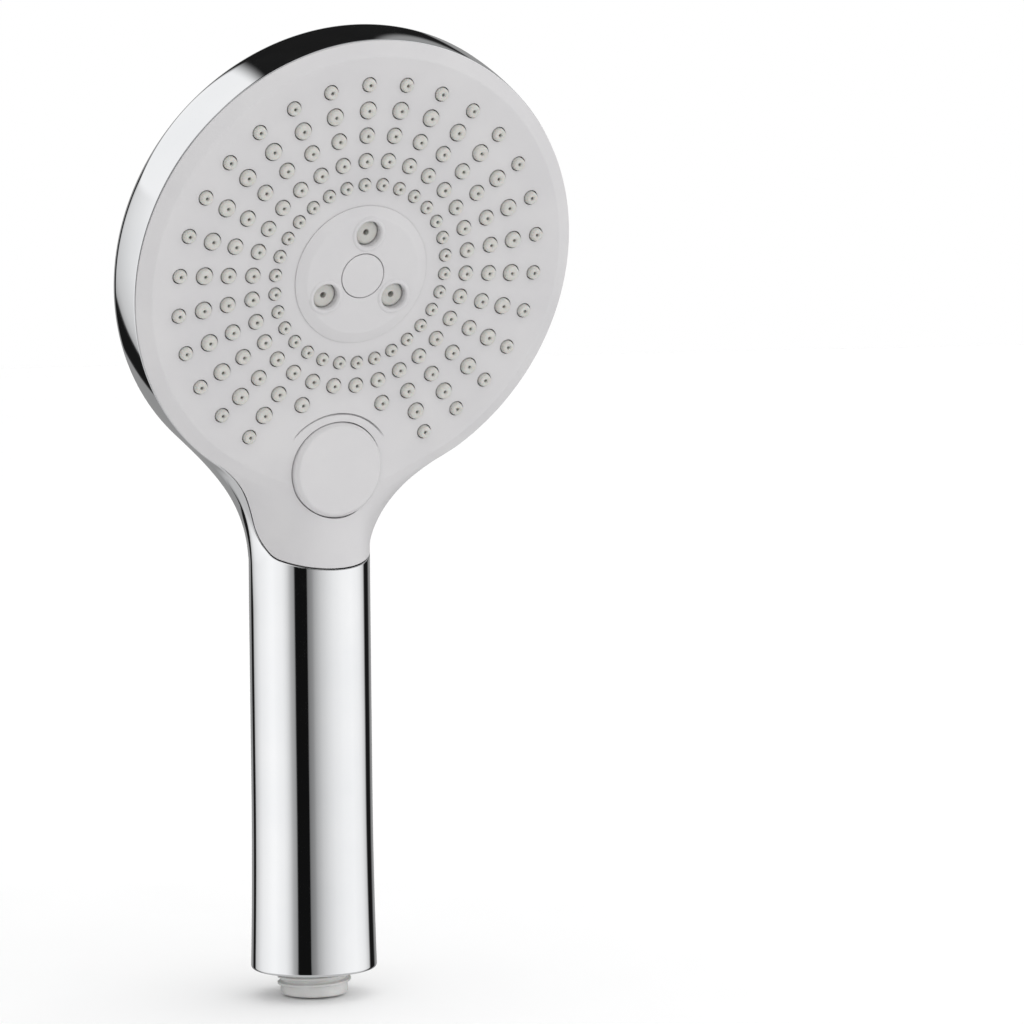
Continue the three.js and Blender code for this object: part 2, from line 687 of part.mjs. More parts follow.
function plungerSeal() {
  const centre = VALVE_FRONT + 0.7;
  return solidOf(new THREE.TorusGeometry(3.92, O_RING_WIRE, 6, 16).translate(0, 0, -centre));
}

function diverterRotor() {
  const body = ring(VALVE_CHAMBER - 0.5, PLUNGER_BORE, VALVE_SPLIT + 1.1, ROTOR_BACK, 24);
  const port = bar(PORT_RADIUS + 0.3, VALVE_SPLIT, VALVE_SPLIT + 6, 10, ...polar(PORT_CIRCLE, 90));
  return body.subtract(port);
}

function portBars(from, to, sides) {
  return JET_ANGLES.map((angle) => bar(PORT_RADIUS, from, to, sides, ...polar(PORT_CIRCLE, angle)));
}

function valveSeat() {
  return drilled(bar(VALVE_CHAMBER - 0.3, ROTOR_BACK + GAP, VALVE_FLOOR - GAP, 24), portBars(14, 24, 8));
}

// The valve's cup, with the upright socket that takes the water tube. It is built in the row's own frame.
function valveHousing() {
  const cup = moved(bar(VALVE_RADIUS, VALVE_SPLIT + GAP, VALVE_BACK, 24), BUTTON_FRAME);
  const chamber = moved(bar(VALVE_CHAMBER, VALVE_SPLIT - 3, VALVE_FLOOR, 24), BUTTON_FRAME);
  const ports = portBars(18, VALVE_BACK - 0.8, 8).map((port) => moved(port, BUTTON_FRAME));
  const frontSpace = moved(bar(24, 4, VALVE_SPLIT + GAP, 24), BUTTON_FRAME);
  const socket = bar(SOCKET_RADIUS, -SOCKET_BOTTOM, -SOCKET_TOP, 20);
  const bore = bar(TUBE_RADIUS + GAP, -SOCKET_BOTTOM + 2, -TUBE_TOP - 0.5, 20);
  const passage = bar(PASSAGE_RADIUS, -TUBE_TOP, -SOCKET_TOP - 2, 10).translate(0, -1, 0);
  const pipeHole = moved(alongFace(PIPE_RADIUS + GAP, -48, -30), FACE_FRAME);
  const whole = joined([cup, socket.subtract(frontSpace)]);
  return drilled(whole, [chamber, bore, passage, pipeHole, ...ports]);
}

// ---------- Water tube, seals and inlet ----------

function threadProfile() {
  const points = [];
  for (let z = 0.5; z + THREAD_PITCH < THREAD_LENGTH; z += THREAD_PITCH) {
    points.push([THREAD_ROOT, z], [THREAD_RADIUS, z + 0.9]);
  }
  points.push([THREAD_ROOT, THREAD_LENGTH - 0.9]);
  return points;
}

function inletTube() {
  const grooves = O_RING_HEIGHTS.flatMap((z) => [
    [TUBE_RADIUS, z - 0.9], [O_RING_GROOVE, z - 0.9], [O_RING_GROOVE, z + 0.9], [TUBE_RADIUS, z + 0.9],
  ]);
  const flangeBottom = HANDLE_FOOT + FOOT_WALL + GAP;
  const outline = [
    [INLET_BORE, 0], [THREAD_ROOT, 0], ...threadProfile(), [COLLAR_RADIUS, THREAD_LENGTH],
    [COLLAR_RADIUS, flangeBottom], [FLANGE_RADIUS, flangeBottom],
    [FLANGE_RADIUS, flangeBottom + 2.5], [SHOULDER_RADIUS, flangeBottom + 3], [SHOULDER_RADIUS, 23],
    [TUBE_RADIUS, 26], ...grooves, [TUBE_RADIUS - 0.6, TUBE_TOP],
    [TUBE_BORE, TUBE_TOP], [TUBE_BORE, INLET_BORE_DEPTH], [INLET_BORE, INLET_BORE_DEPTH], [INLET_BORE, 0],
  ];
  return turned(outline.map(([radius, z]) => [radius, -z]), 20);
}

function tubeSeal(z) {
  return solidOf(new THREE.TorusGeometry(5.86, O_RING_WIRE, 6, 16).translate(0, 0, z));
}

function filterScreen() {
  const holes = [];
  for (const [radius, count] of SCREEN_HOLES) {
    for (let i = 0; i < count; i += 1) {
      holes.push(bar(0.6, -11, -16, 5, ...polar(radius, (360 * i) / count)));
    }
  }
  return drilled(bar(INLET_BORE - GAP, -SCREEN_BOTTOM, -SCREEN_BOTTOM - 1, 18), holes);
}

function flowRegulator() {
  return ring(INLET_BORE - GAP, REGULATOR_BORE, -REGULATOR_BOTTOM, -REGULATOR_TOP, 18);
}

// ---------- Assembly ----------

function mesh(name, solid, color, roughness, metalness = 0) {
  const made = new THREE.Mesh(geometryOf(solid), material(color, roughness, metalness));
  made.name = name;
  return made;
}

function framedGroup(matrix) {
  const group = new THREE.Group();
  group.applyMatrix4(matrix);
  return group;
}

const shower = new THREE.Group();
const face = framedGroup(FACE_FRAME);
const selector = framedGroup(BUTTON_FRAME);
shower.add(face, selector);

face.add(mesh('body_shell', bodyShell(), CHROME, 0.08, 1));
face.add(mesh('face_plate', facePlate(), WHITE, 0.35));
face.add(mesh('nozzle_mat', nozzleMat(), SILICONE, 0.6));
face.add(mesh('centre_disc', centreDisc(), WHITE, 0.35));
face.add(mesh('centre_cap', centreCap(), WHITE, 0.35));
face.add(mesh('centre_screw', centreScrew(), STEEL, 0.3, 1));
JET_ANGLES.forEach((angle, i) => {
  const nozzle = mesh(`massage_nozzle_${i + 1}`, massageNozzle(), SILICONE, 0.6);
  nozzle.position.set(...polar(JET_CIRCLE, angle), 0);
  face.add(nozzle);
});
face.add(mesh('distributor_plate', distributorPlate(), INNER_PLASTIC, 0.5));
face.add(mesh('distributor_seal', chamberWall(DIVIDER_BACK + GAP, SEAL_BACK, 0.2), SEAL, 0.8));
face.add(mesh('distributor_housing', distributorHousing(), INNER_PLASTIC, 0.5));
POST_ANGLES.forEach((angle, i) => {
  face.add(mesh(`distributor_screw_${i + 1}`, distributorScrew(angle), STEEL, 0.3, 1));
});
face.add(mesh('transfer_pipe', transferPipe(), INNER_PLASTIC, 0.5));

selector.add(mesh('push_button', pushButton(), WHITE, 0.35));
selector.add(mesh('button_plunger', buttonPlunger(), INNER_PLASTIC, 0.5));
selector.add(mesh('button_spring', buttonSpring(), STEEL, 0.3, 1));
selector.add(mesh('button_retainer', buttonRetainer(), INNER_PLASTIC, 0.5));
selector.add(mesh('valve_cover', valveCover(), INNER_PLASTIC, 0.5));
selector.add(mesh('plunger_o_ring', plungerSeal(), SEAL, 0.8));
selector.add(mesh('diverter_rotor', diverterRotor(), INNER_PLASTIC, 0.5));
selector.add(mesh('valve_seat', valveSeat(), SEAL, 0.8));

shower.add(mesh('valve_housing', valveHousing(), INNER_PLASTIC, 0.5));
shower.add(mesh('inlet_tube', inletTube(), INNER_PLASTIC, 0.4));
O_RING_HEIGHTS.forEach((z, i) => {
  shower.add(mesh(`tube_o_ring_${i + 1}`, tubeSeal(z), SEAL, 0.8));
});
shower.add(mesh('filter_screen', filterScreen(), STEEL, 0.4, 1));
shower.add(mesh('flow_regulator', flowRegulator(), INNER_PLASTIC, 0.5));

export default shower;
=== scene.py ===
"""Handheld shower head: the fine surfaces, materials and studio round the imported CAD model.

Shapes are worked out in millimetres in the row's frame and turned into metres when a mesh is made.
"""
import json
import math

import bpy
import numpy as np
from mathutils import Matrix, Vector


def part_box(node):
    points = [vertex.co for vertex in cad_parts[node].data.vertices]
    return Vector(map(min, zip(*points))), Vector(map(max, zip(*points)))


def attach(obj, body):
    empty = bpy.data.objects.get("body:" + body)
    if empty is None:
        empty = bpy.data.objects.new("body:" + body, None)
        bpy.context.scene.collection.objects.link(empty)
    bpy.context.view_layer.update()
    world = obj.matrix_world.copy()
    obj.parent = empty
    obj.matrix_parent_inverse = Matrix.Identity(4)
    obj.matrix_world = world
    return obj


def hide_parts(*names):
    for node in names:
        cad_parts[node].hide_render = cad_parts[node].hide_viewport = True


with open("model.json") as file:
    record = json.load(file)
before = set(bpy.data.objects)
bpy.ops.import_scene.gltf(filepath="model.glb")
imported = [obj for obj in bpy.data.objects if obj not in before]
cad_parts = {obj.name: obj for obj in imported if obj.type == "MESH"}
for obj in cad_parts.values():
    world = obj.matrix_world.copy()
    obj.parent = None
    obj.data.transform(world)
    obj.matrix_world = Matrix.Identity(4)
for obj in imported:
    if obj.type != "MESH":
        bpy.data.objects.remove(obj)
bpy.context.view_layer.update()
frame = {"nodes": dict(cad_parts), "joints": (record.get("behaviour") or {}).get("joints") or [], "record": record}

MM = 0.001


# ---------------------------------------------------------------- frame: where the CAD says things are

def box_centre(node):
    low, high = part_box(node)
    return np.array((low + high) / 2) / MM


def joint_named(name):
    return next(joint for joint in frame["joints"] if joint["name"] == name)


DISC_FRONT = -1.1
JET_MIDDLE = 3.25
jet_centres = [box_centre(f"massage_nozzle_{number}") for number in (1, 2, 3)]
face_up = jet_centres[0] - (jet_centres[1] + jet_centres[2]) / 2
face_up /= np.linalg.norm(face_up)
face_out = np.array((0.0, -face_up[2], face_up[1]))
face_centre = sum(jet_centres) / 3 + face_out * JET_MIDDLE

button_in = np.array(joint_named("rotor_turn")["axis"])
button_out = -button_in
button_up = np.array((0.0, button_out[2], -button_out[1]))
button_centre = np.array(joint_named("rotor_turn")["pos_m"]) / MM


def tilted(centre, up, out):
    """A 4x4 in millimetres whose X is the row's X, whose Y is up and whose Z is out."""
    made = np.eye(4)
    made[:3, 0] = (1, 0, 0)
    made[:3, 1] = up
    made[:3, 2] = out
    made[:3, 3] = centre
    return made


FACE = tilted(face_centre, face_up, face_out)
BUTTON = tilted(button_centre, button_up, button_out)
ROW = np.eye(4)


def placed(points, matrix):
    return points @ matrix[:3, :3].T + matrix[:3, 3]


def seen_from(points, matrix):
    """Points in the matrix's own coordinates: x, up, and out towards the viewer."""
    return (points - matrix[:3, 3]) @ matrix[:3, :3]


# ---------------------------------------------------------------- outer form, as the CAD has it

NOZZLE_TIP = -1.0
PLATE_FRONT = 0.3
FLAT_RADIUS = 61.7
SEAM_RADIUS = 65.8
SEAM_DEPTH = 2.1
RIM_RADIUS = 66.7
RIM_DEPTH = 14.3
HEAD_BACK = 24.0
HEAD_BACK_CROWN = 2.5
HEAD_BACK_EDGE = 8.0
HEAD_MIDDLE = 12.0
HANDLE_RADIUS = 17.15
HANDLE_FOOT = 7.3
HANDLE_FOOT_FLARE = 0.75
HANDLE_FLARE_END = 60.0
HANDLE_FOOT_EDGE = 1.0
HANDLE_TOP = 148.0
NECK_BACK_START = 112.0
NECK_BACK_END = 165.0
NECK_BACK_DEPTH = 8.5
NECK_BLEND_FRONT = 14.0
NECK_BLEND_SIDE = 28.0
NECK_BLEND_SPAN = (-3.0, 8.0)
FLAT_EDGE_SOFTNESS = 0.12
RIM_CREASE = 0.1
NECK_CREASE = 3.0
CREASE_GROWTH = (50.0, 66.0)
WALL = 2.2


def smoothstep(value, low, high):
    share = np.clip((value - low) / (high - low), 0, 1)
    return share * share * (3 - 2 * share)


def smooth_min(a, b, reach):
    share = np.maximum(reach - np.abs(a - b), 0) / reach
    return np.minimum(a, b) - share * share * reach / 4


def rounded_corner(across, along, edge):
    outside = np.hypot(np.maximum(across + edge, 0), np.maximum(along + edge, 0))
    return np.minimum(np.maximum(across, along) + edge, 0) + outside - edge


def head_distance(radius, along, depth):
    share = np.clip((depth - SEAM_DEPTH) / (RIM_DEPTH - SEAM_DEPTH), -0.6, 1)
    wall = radius - (SEAM_RADIUS + (RIM_RADIUS - SEAM_RADIUS) * share * (2 - share))
    back = depth - HEAD_BACK + HEAD_BACK_CROWN * (radius / RIM_RADIUS) ** 2
    slope = math.atan2(SEAM_DEPTH - PLATE_FRONT, SEAM_RADIUS - FLAT_RADIUS)
    bevel = (radius - FLAT_RADIUS) * math.sin(slope) - (depth - PLATE_FRONT) * math.cos(slope)
    front = -smooth_min(depth - PLATE_FRONT, -bevel, FLAT_EDGE_SOFTNESS)
    crease = RIM_CREASE + (NECK_CREASE - RIM_CREASE) * smoothstep(-along, *CREASE_GROWTH)
    return -smooth_min(-rounded_corner(wall, back, HEAD_BACK_EDGE), -front, crease)


def handle_radius(z):
    flare = np.maximum(HANDLE_FLARE_END - z, 0) / (HANDLE_FLARE_END - HANDLE_FOOT)
    return HANDLE_RADIUS + HANDLE_FOOT_FLARE * flare * flare


def handle_distance(points):
    x, y, z = points.T
    thinning = smoothstep(z, NECK_BACK_START, NECK_BACK_END)
    back_depth = HANDLE_RADIUS + (NECK_BACK_DEPTH - HANDLE_RADIUS) * thinning
    across = np.where(y > 0, y * HANDLE_RADIUS / back_depth, y)
    ball = np.maximum(z - HANDLE_TOP, 0)
    return np.sqrt(x * x + across * across + ball * ball) - handle_radius(z)


def form_distance(points):
    """Distance to the tilted disc blended into the handle."""
    x, along, out = seen_from(points, FACE).T
    depth = -out
    side = smoothstep(depth, *NECK_BLEND_SPAN)
    reach = NECK_BLEND_FRONT + (NECK_BLEND_SIDE - NECK_BLEND_FRONT) * side
    return smooth_min(head_distance(np.hypot(x, along), along, depth), handle_distance(points), reach)


def reach_of(origins, directions, distance):
    """How far each ray runs from inside the form to its surface."""
    count = len(origins)
    inside, outside = np.zeros(count), np.full(count, 2.0)
    still = np.ones(count, bool)
    while still.any():
        reached = origins[still] + directions[still] * outside[still, None]
        inner = distance(reached) < 0
        index = np.flatnonzero(still)
        inside[index[inner]] = outside[index[inner]]
        outside[index[inner]] += 2.0
        still[index[~inner]] = False
    for _ in range(26):
        middle = (inside + outside) / 2
        inner = distance(origins + directions * middle[:, None]) < 0
        inside = np.where(inner, middle, inside)
        outside = np.where(inner, outside, middle)
    return inside


def outward(points, distance, step=0.02):
    """Unit normals of the surface: the distance's gradient."""
    slopes = [distance(points + offset) - distance(points - offset) for offset in np.eye(3) * step]
    normals = np.stack(slopes, axis=1)
    return normals / np.linalg.norm(normals, axis=1, keepdims=True)


# ---------------------------------------------------------------- spine and ribs

# The spine's bend, and how the ribs are spread along it. Splays are in degrees.
SPINE_BEND_TOP = -50.0
SPINE_BEND_CORNER = -70.9
SPINE_BEND_BOTTOM = -92.0
SPINE_BEND_FOOT = 120.0
NECK_START = -88
NECK_RISE = 62
NECK_RISE_GROWTH = 26
NECK_SPLAY = -3
FAN_SPLAY = -55
FAN_END = 90


def face_point(along, depth):
    return placed(np.array((0.0, along, -depth)), FACE)


def spine(along):
    """A point of the spine and how far it has turned from the face's tilt to upright."""
    if along > SPINE_BEND_TOP:
        return face_point(along, HEAD_MIDDLE), 0.0
    bend = min((SPINE_BEND_TOP - along) / (SPINE_BEND_TOP - SPINE_BEND_BOTTOM), 1.0)
    top = face_point(SPINE_BEND_TOP, HEAD_MIDDLE)
    corner = np.array((0.0, 0.0, face_point(SPINE_BEND_CORNER, HEAD_MIDDLE)[2]))
    foot = np.array((0.0, 0.0, SPINE_BEND_FOOT))
    return (1 - bend) ** 2 * top + 2 * bend * (1 - bend) * corner + bend ** 2 * foot, bend


FACE_TILT = math.asin(-face_out[2])


def stations(handle_steps, neck_steps, fan_steps):
    """Places for one rib each: origin, tilt and sideways splay, from the handle to the top of the head."""
    made = []
    for z in np.linspace(*handle_steps):
        made.append((np.array((0.0, 0.0, z)), 0.0, 0.0))
    for t in np.arange(neck_steps) / neck_steps:
        origin, bend = spine(NECK_START + NECK_RISE * t + NECK_RISE_GROWTH * t * t)
        made.append((origin, FACE_TILT * (1 - bend), math.radians(NECK_SPLAY + (FAN_SPLAY - NECK_SPLAY) * t)))
    for t in np.linspace(0, 1, fan_steps):
        made.append((spine(0.0)[0], FACE_TILT, math.radians(FAN_SPLAY + (FAN_END - FAN_SPLAY) * t)))
    return made


def ribs(places, turns, distance):
    """A grid of points on the right half, one row per place, each from the first turn to the last."""
    origins = np.array([origin for origin, _, _ in places])
    tilts = np.array([tilt for _, tilt, _ in places])
    splays = np.array([splay for _, _, splay in places])
    zero = np.zeros(len(places))
    front = np.stack([zero, -np.cos(tilts), -np.sin(tilts)], axis=1)
    along = np.stack([zero, -np.sin(tilts), np.cos(tilts)], axis=1)
    side = np.array((1.0, 0, 0)) * np.cos(splays)[:, None] + along * np.sin(splays)[:, None]
    reaches = [reach_of(origins, way, distance) for way in (front, -front, side)]
    cosines, sines = np.cos(turns), np.sin(turns)
    depth = np.where(cosines > 0, reaches[0][:, None], reaches[1][:, None]) * cosines
    aims = side[:, None, :] * (reaches[2][:, None] * sines)[:, :, None] + front[:, None, :] * depth[:, :, None]
    aims /= np.linalg.norm(aims, axis=2, keepdims=True)
    starts = np.repeat(origins[:, None, :], len(turns), axis=1)
    flat_starts, flat_aims = starts.reshape(-1, 3), aims.reshape(-1, 3)
    reached = flat_starts + flat_aims * reach_of(flat_starts, flat_aims, distance)[:, None]
    return reached.reshape(len(places), len(turns), 3)


def sheet_of(grid, flip):
    """Points and triangles of a grid of points."""
    rows, columns = grid.shape[:2]
    index = np.arange(rows * columns).reshape(rows, columns)
    a, b = index[:-1, :-1].ravel(), index[:-1, 1:].ravel()
    c, d = index[1:, 1:].ravel(), index[1:, :-1].ravel()
    triangles = np.concatenate([np.stack([a, b, c], axis=1), np.stack([a, c, d], axis=1)])
    return grid.reshape(-1, 3), triangles[:, ::-1] if flip else triangles


def welded(parts, tolerance=1e-3):
    """One list of points and triangles, with points in the same place made one and empty triangles left out."""
    offsets = np.cumsum([0] + [len(points) for points, _ in parts[:-1]])
    points = np.concatenate([points for points, _ in parts])
    triangles = np.concatenate([triangles + offset for (_, triangles), offset in zip(parts, offsets)])
    keys = np.round(points / tolerance).astype(np.int64)
    _, first, inverse = np.unique(keys, axis=0, return_index=True, return_inverse=True)
    triangles = inverse.reshape(-1)[triangles]
    real = (triangles[:, 0] != triangles[:, 1]) & (triangles[:, 1] != triangles[:, 2]) & (
        triangles[:, 2] != triangles[:, 0])
    return points[first], triangles[real]


# ---------------------------------------------------------------- seam between plate and body

RIM_GAP = 0.55
NECK_GAP = 0.3
GAP_CHANGE = (44.0, 62.0)
LIP = 0.32
LIP_DEPTH = 0.35
SEAM_TOP = np.array((90.0, SEAM_DEPTH))
SEAM_CURVES = [
    [(-54, SEAM_DEPTH), (-61, SEAM_DEPTH + 0.5), (-68, 5.4), (-75, 5.4)],
    [(-75, 5.4), (-79.5, 5.4), (-83, 2.2), (-83, -3)],
]
SEAM_FRONT_END = np.array((-83.0, -60.0))


def bezier(corners, steps):
    p = np.array(corners, float)
    t = np.linspace(0, 1, steps)[:, None]
    return (1 - t) ** 3 * p[0] + 3 * t * (1 - t) ** 2 * p[1] + 3 * t * t * (1 - t) * p[2] + t ** 3 * p[3]


SEAM_LINE = np.concatenate([
    [SEAM_TOP], *[bezier(curve, 24)[:-1] for curve in SEAM_CURVES], [SEAM_CURVES[-1][-1]], [SEAM_FRONT_END],
])


def seam_side(points):
    """Distance from the seam in the face's own side view: above zero on the body, below it on the plate."""
    _, along, out = seen_from(points, FACE).T
    p = np.stack([along, -out], axis=1)
    nearest = np.full(len(p), np.inf)
    for a, b in zip(SEAM_LINE[:-1], SEAM_LINE[1:]):
        way = b - a
        share = np.clip(((p - a) @ way) / (way @ way), 0, 1)
        nearest = np.minimum(nearest, np.linalg.norm(p - a - share[:, None] * way, axis=1))
    curve = SEAM_LINE[::-1]
    depth_here = np.interp(p[:, 0], curve[1:, 0], curve[1:, 1])
    front = (p[:, 0] > SEAM_FRONT_END[0]) & (p[:, 1] < depth_here)
    return np.where(front, -nearest, nearest)


def seam_slope(points, normals):
    """The seam distance's slope along the surface, and the way it grows."""
    step = 0.02
    rises = [seam_side(points + offset) - seam_side(points - offset) for offset in np.eye(3) * step]
    slopes = np.stack(rises, axis=1) / (2 * step)
    along = slopes - normals * np.sum(slopes * normals, axis=1, keepdims=True)
    size = np.linalg.norm(along, axis=1, keepdims=True)
    return size[:, 0], along / np.maximum(size, 1e-6)


def seam_gap(points):
    """The seam is wider round the rim than round the neck."""
    along = seen_from(points, FACE)[:, 1]
    return RIM_GAP + (NECK_GAP - RIM_GAP) * smoothstep(-along, *GAP_CHANGE)


def seam_reach(points):
    """Distance from the seam, measured along the surface."""
    slope, _ = seam_slope(points, outward(points, form_distance))
    return seam_side(points) / np.maximum(slope, 0.15)


# ---------------------------------------------------------------- cutting a sheet along a line

def crossing(points, ends, field):
    """Where the field is zero on each of these edges, by halving."""
    low, high = points[ends[:, 0]], points[ends[:, 1]]
    low_sign = np.sign(field(low))
    for _ in range(12):
        middle = (low + high) / 2
        same = np.sign(field(middle)) == low_sign
        low = np.where(same[:, None], middle, low)
        high = np.where(same[:, None], high, middle)
    return (low + high) / 2


def edges_across(triangles, value):
    edges = np.concatenate([triangles[:, [0, 1]], triangles[:, [1, 2]], triangles[:, [2, 0]]])
    edges = np.unique(np.sort(edges, axis=1), axis=0)
    return edges[value[edges[:, 0]] * value[edges[:, 1]] < 0]


def split(triangle, value, fresh):
    """The two or three triangles that a line makes of one."""
    a, b, c = (int(v) for v in triangle)
    for _ in range(3):
        if value[a] == 0 or (value[a] * value[b] < 0 and value[a] * value[c] < 0):
            break
        a, b, c = b, c, a
    if value[a] == 0:
        middle = fresh[(min(b, c), max(b, c))]
        return [(a, b, middle), (a, middle, c)]
    first = fresh[(min(a, b), max(a, b))]
    second = fresh[(min(a, c), max(a, c))]
    return [(a, first, second), (first, b, c), (first, c, second)]


def trimmed(points, triangles, field, near=0.25):
    """The part of a sheet where the field is above zero. Points close to the line move onto it first."""
    points = points.copy()
    value = field(points)
    ends = edges_across(triangles, value)
    places = crossing(points, ends, field)
    length = np.linalg.norm(points[ends[:, 1]] - points[ends[:, 0]], axis=1)
    share = np.linalg.norm(places - points[ends[:, 0]], axis=1) / length
    best = np.full(len(points), near)
    for column, closeness in ((0, share), (1, 1 - share)):
        for index in np.flatnonzero(closeness < near):
            vertex = ends[index, column]
            if closeness[index] < best[vertex]:
                best[vertex] = closeness[index]
                points[vertex] = places[index]
                value[vertex] = 0.0
    ends = edges_across(triangles, value)
    made = crossing(points, ends, field)
    fresh = {(int(a), int(b)): len(points) + i for i, (a, b) in enumerate(ends)}
    points = np.concatenate([points, made])
    value = np.concatenate([value, np.zeros(len(made))])
    signs = np.sign(value[triangles])
    mixed = (signs.max(axis=1) > 0) & (signs.min(axis=1) < 0)
    pieces = [piece for triangle in triangles[mixed] for piece in split(triangle, value, fresh)]
    triangles = np.concatenate([triangles[~mixed], np.array(pieces, int).reshape(-1, 3)])
    above = triangles[np.sign(value[triangles]).sum(axis=1) > 0]
    used, inverse = np.unique(above, return_inverse=True)
    return points[used], inverse.reshape(-1, 3)


def boundary(triangles):
    """Edges that only one triangle has, in that triangle's direction."""
    edges = np.concatenate([triangles[:, [0, 1]], triangles[:, [1, 2]], triangles[:, [2, 0]]])
    _, first, counts = np.unique(np.sort(edges, axis=1), axis=0, return_index=True, return_counts=True)
    return edges[first[counts == 1]]


def point_normals(points, triangles):
    a, b, c = (points[triangles[:, i]] for i in range(3))
    faces = np.cross(b - a, c - a)
    normals = np.zeros_like(points)
    for i in range(3):
        np.add.at(normals, triangles[:, i], faces)
    return normals / np.maximum(np.linalg.norm(normals, axis=1, keepdims=True), 1e-12)


def lipped_shell(points, triangles, sign, foot_hole=False):
    """A closed wall of a sheet that ends at the seam, with its lip rounded inwards. Returns normals too."""
    count = len(points)
    plain = point_normals(points, triangles)
    normals = outward(points, form_distance)
    at_foot = points[:, 2] < HANDLE_FOOT + HANDLE_FOOT_EDGE
    normals[at_foot] = plain[at_foot]
    rim = boundary(triangles)
    at_seam = points[rim[:, 0], 2] > HANDLE_FOOT + 5
    seam_rim = rim[at_seam]
    ids, where = np.unique(seam_rim, return_inverse=True)
    where = where.reshape(-1, 2)
    _, grow = seam_slope(points[ids], normals[ids])
    towards = -sign * grow
    all_points, all_normals, walls = [points], [normals], []
    previous = ids
    total = count
    for degrees in (22.5, 45, 67.5, 90):
        angle = math.radians(degrees)
        row = points[ids] + towards * LIP * math.sin(angle) - normals[ids] * LIP * (1 - math.cos(angle))
        here = total + np.arange(len(ids))
        walls.append(strip(previous, here, where))
        all_points.append(row)
        all_normals.append(normals[ids] * math.cos(angle) + towards * math.sin(angle))
        previous = here
        total += len(ids)
    reach = np.abs(seam_reach(points)) - LIP
    depth = np.clip(LIP + LIP_DEPTH + reach, LIP + LIP_DEPTH, WALL)
    depth[at_foot] = HANDLE_FOOT_EDGE - 0.3
    all_points.append(points - normals * depth[:, None])
    all_normals.append(-normals)
    walls.append(triangles[:, ::-1] + total)
    inner = total + ids
    walls.append(strip(previous, inner, where))
    if foot_hole:
        for a, b in rim[~at_seam]:
            walls.append(np.array([(b, a, total + a), (b, total + a, total + b)]))
    return np.concatenate(all_points), np.concatenate([triangles, *walls]), np.concatenate(all_normals)


def strip(first, second, edges):
    """Triangles between two rows of points, where each edge names two columns."""
    a, b = edges.T
    return np.concatenate([
        np.stack([first[b], first[a], second[a]], axis=1),
        np.stack([first[b], second[a], second[b]], axis=1),
    ])


# ---------------------------------------------------------------- turned shapes

def rounded(corners, step=15):
    """An outline in which each (x, y, radius) corner is an arc."""
    made = []
    count = len(corners)
    for i, (x, y, radius) in enumerate(corners):
        here = np.array((x, y), float)
        if radius == 0:
            made.append(here)
            continue
        before = np.array(corners[i - 1][:2], float) - here
        after = np.array(corners[(i + 1) % count][:2], float) - here
        before /= np.linalg.norm(before)
        after /= np.linalg.norm(after)
        half = math.acos(np.clip(before @ after, -1, 1)) / 2
        middle = (before + after) / np.linalg.norm(before + after)
        centre = here + middle * radius / math.sin(half)
        start = here + before * radius / math.tan(half) - centre
        end = here + after * radius / math.tan(half) - centre
        turn = math.pi - 2 * half
        steps = max(2, math.ceil(math.degrees(turn) / step))
        for share in np.linspace(0, 1, steps + 1):
            blend = math.sin((1 - share) * turn) * start + math.sin(share * turn) * end
            made.append(centre + blend / math.sin(turn))
    return np.array(made)


def facing_out(points, triangles):
    """A closed solid's triangles, turned round if they face inwards."""
    a, b, c = (points[triangles[:, i]] for i in range(3))
    return triangles[:, ::-1] if np.sum(a * np.cross(b, c)) < 0 else triangles


def turned(profile, segments, matrix=ROW, across=0.0, up=0.0, shape=None):
    """A closed solid turned about the matrix's out axis from (radius, out) points, the last joined to the first.

    Points on the axis become one. Radii may be changed by shape(radius, out, angle).
    """
    angles = np.linspace(0, 2 * math.pi, segments, endpoint=False)
    points, rows = [], []
    for radius, out in profile:
        if radius < 1e-6:
            rows.append(np.full(segments, len(points)))
            points.append((across, up, out))
            continue
        radii = np.full(segments, radius) if shape is None else shape(radius, out, angles)
        rows.append(np.arange(segments) + len(points))
        points.extend(zip(across + radii * np.cos(angles), up + radii * np.sin(angles), np.full(segments, out)))
    made = []
    for i in range(len(rows)):
        first, second = rows[i], rows[(i + 1) % len(rows)]
        following_first, following_second = np.roll(first, -1), np.roll(second, -1)
        made.append(np.stack([first, following_first, following_second], axis=1))
        made.append(np.stack([first, following_second, second], axis=1))
    triangles = np.concatenate(made)
    real = (triangles[:, 0] != triangles[:, 1]) & (triangles[:, 1] != triangles[:, 2]) & (
        triangles[:, 2] != triangles[:, 0])
    points = np.array(points, float)
    return placed(points, matrix), facing_out(points, triangles[real])


def bar(radius, low, high, segments, matrix, across=0.0, up=0.0):
    return turned([(0, high), (radius, high), (radius, low), (0, low)], segments, matrix, across, up)


def together(parts):
    offsets = np.cumsum([0] + [len(points) for points, _ in parts[:-1]])
    points = np.concatenate([points for points, _ in parts])
    return points, np.concatenate([triangles + offset for (_, triangles), offset in zip(parts, offsets)])


# ---------------------------------------------------------------- Blender objects

def object_of(name, points, triangles, normals=None):
    """A smooth-shaded mesh object. Points are in millimetres."""
    mesh = bpy.data.meshes.new(name)
    mesh.from_pydata((points * MM).tolist(), [], triangles.tolist())
    mesh.validate()
    mesh.shade_smooth()
    if normals is not None:
        mesh.normals_split_custom_set_from_vertices(normals.tolist())
    made = bpy.data.objects.new(name, mesh)
    bpy.context.scene.collection.objects.link(made)
    return made


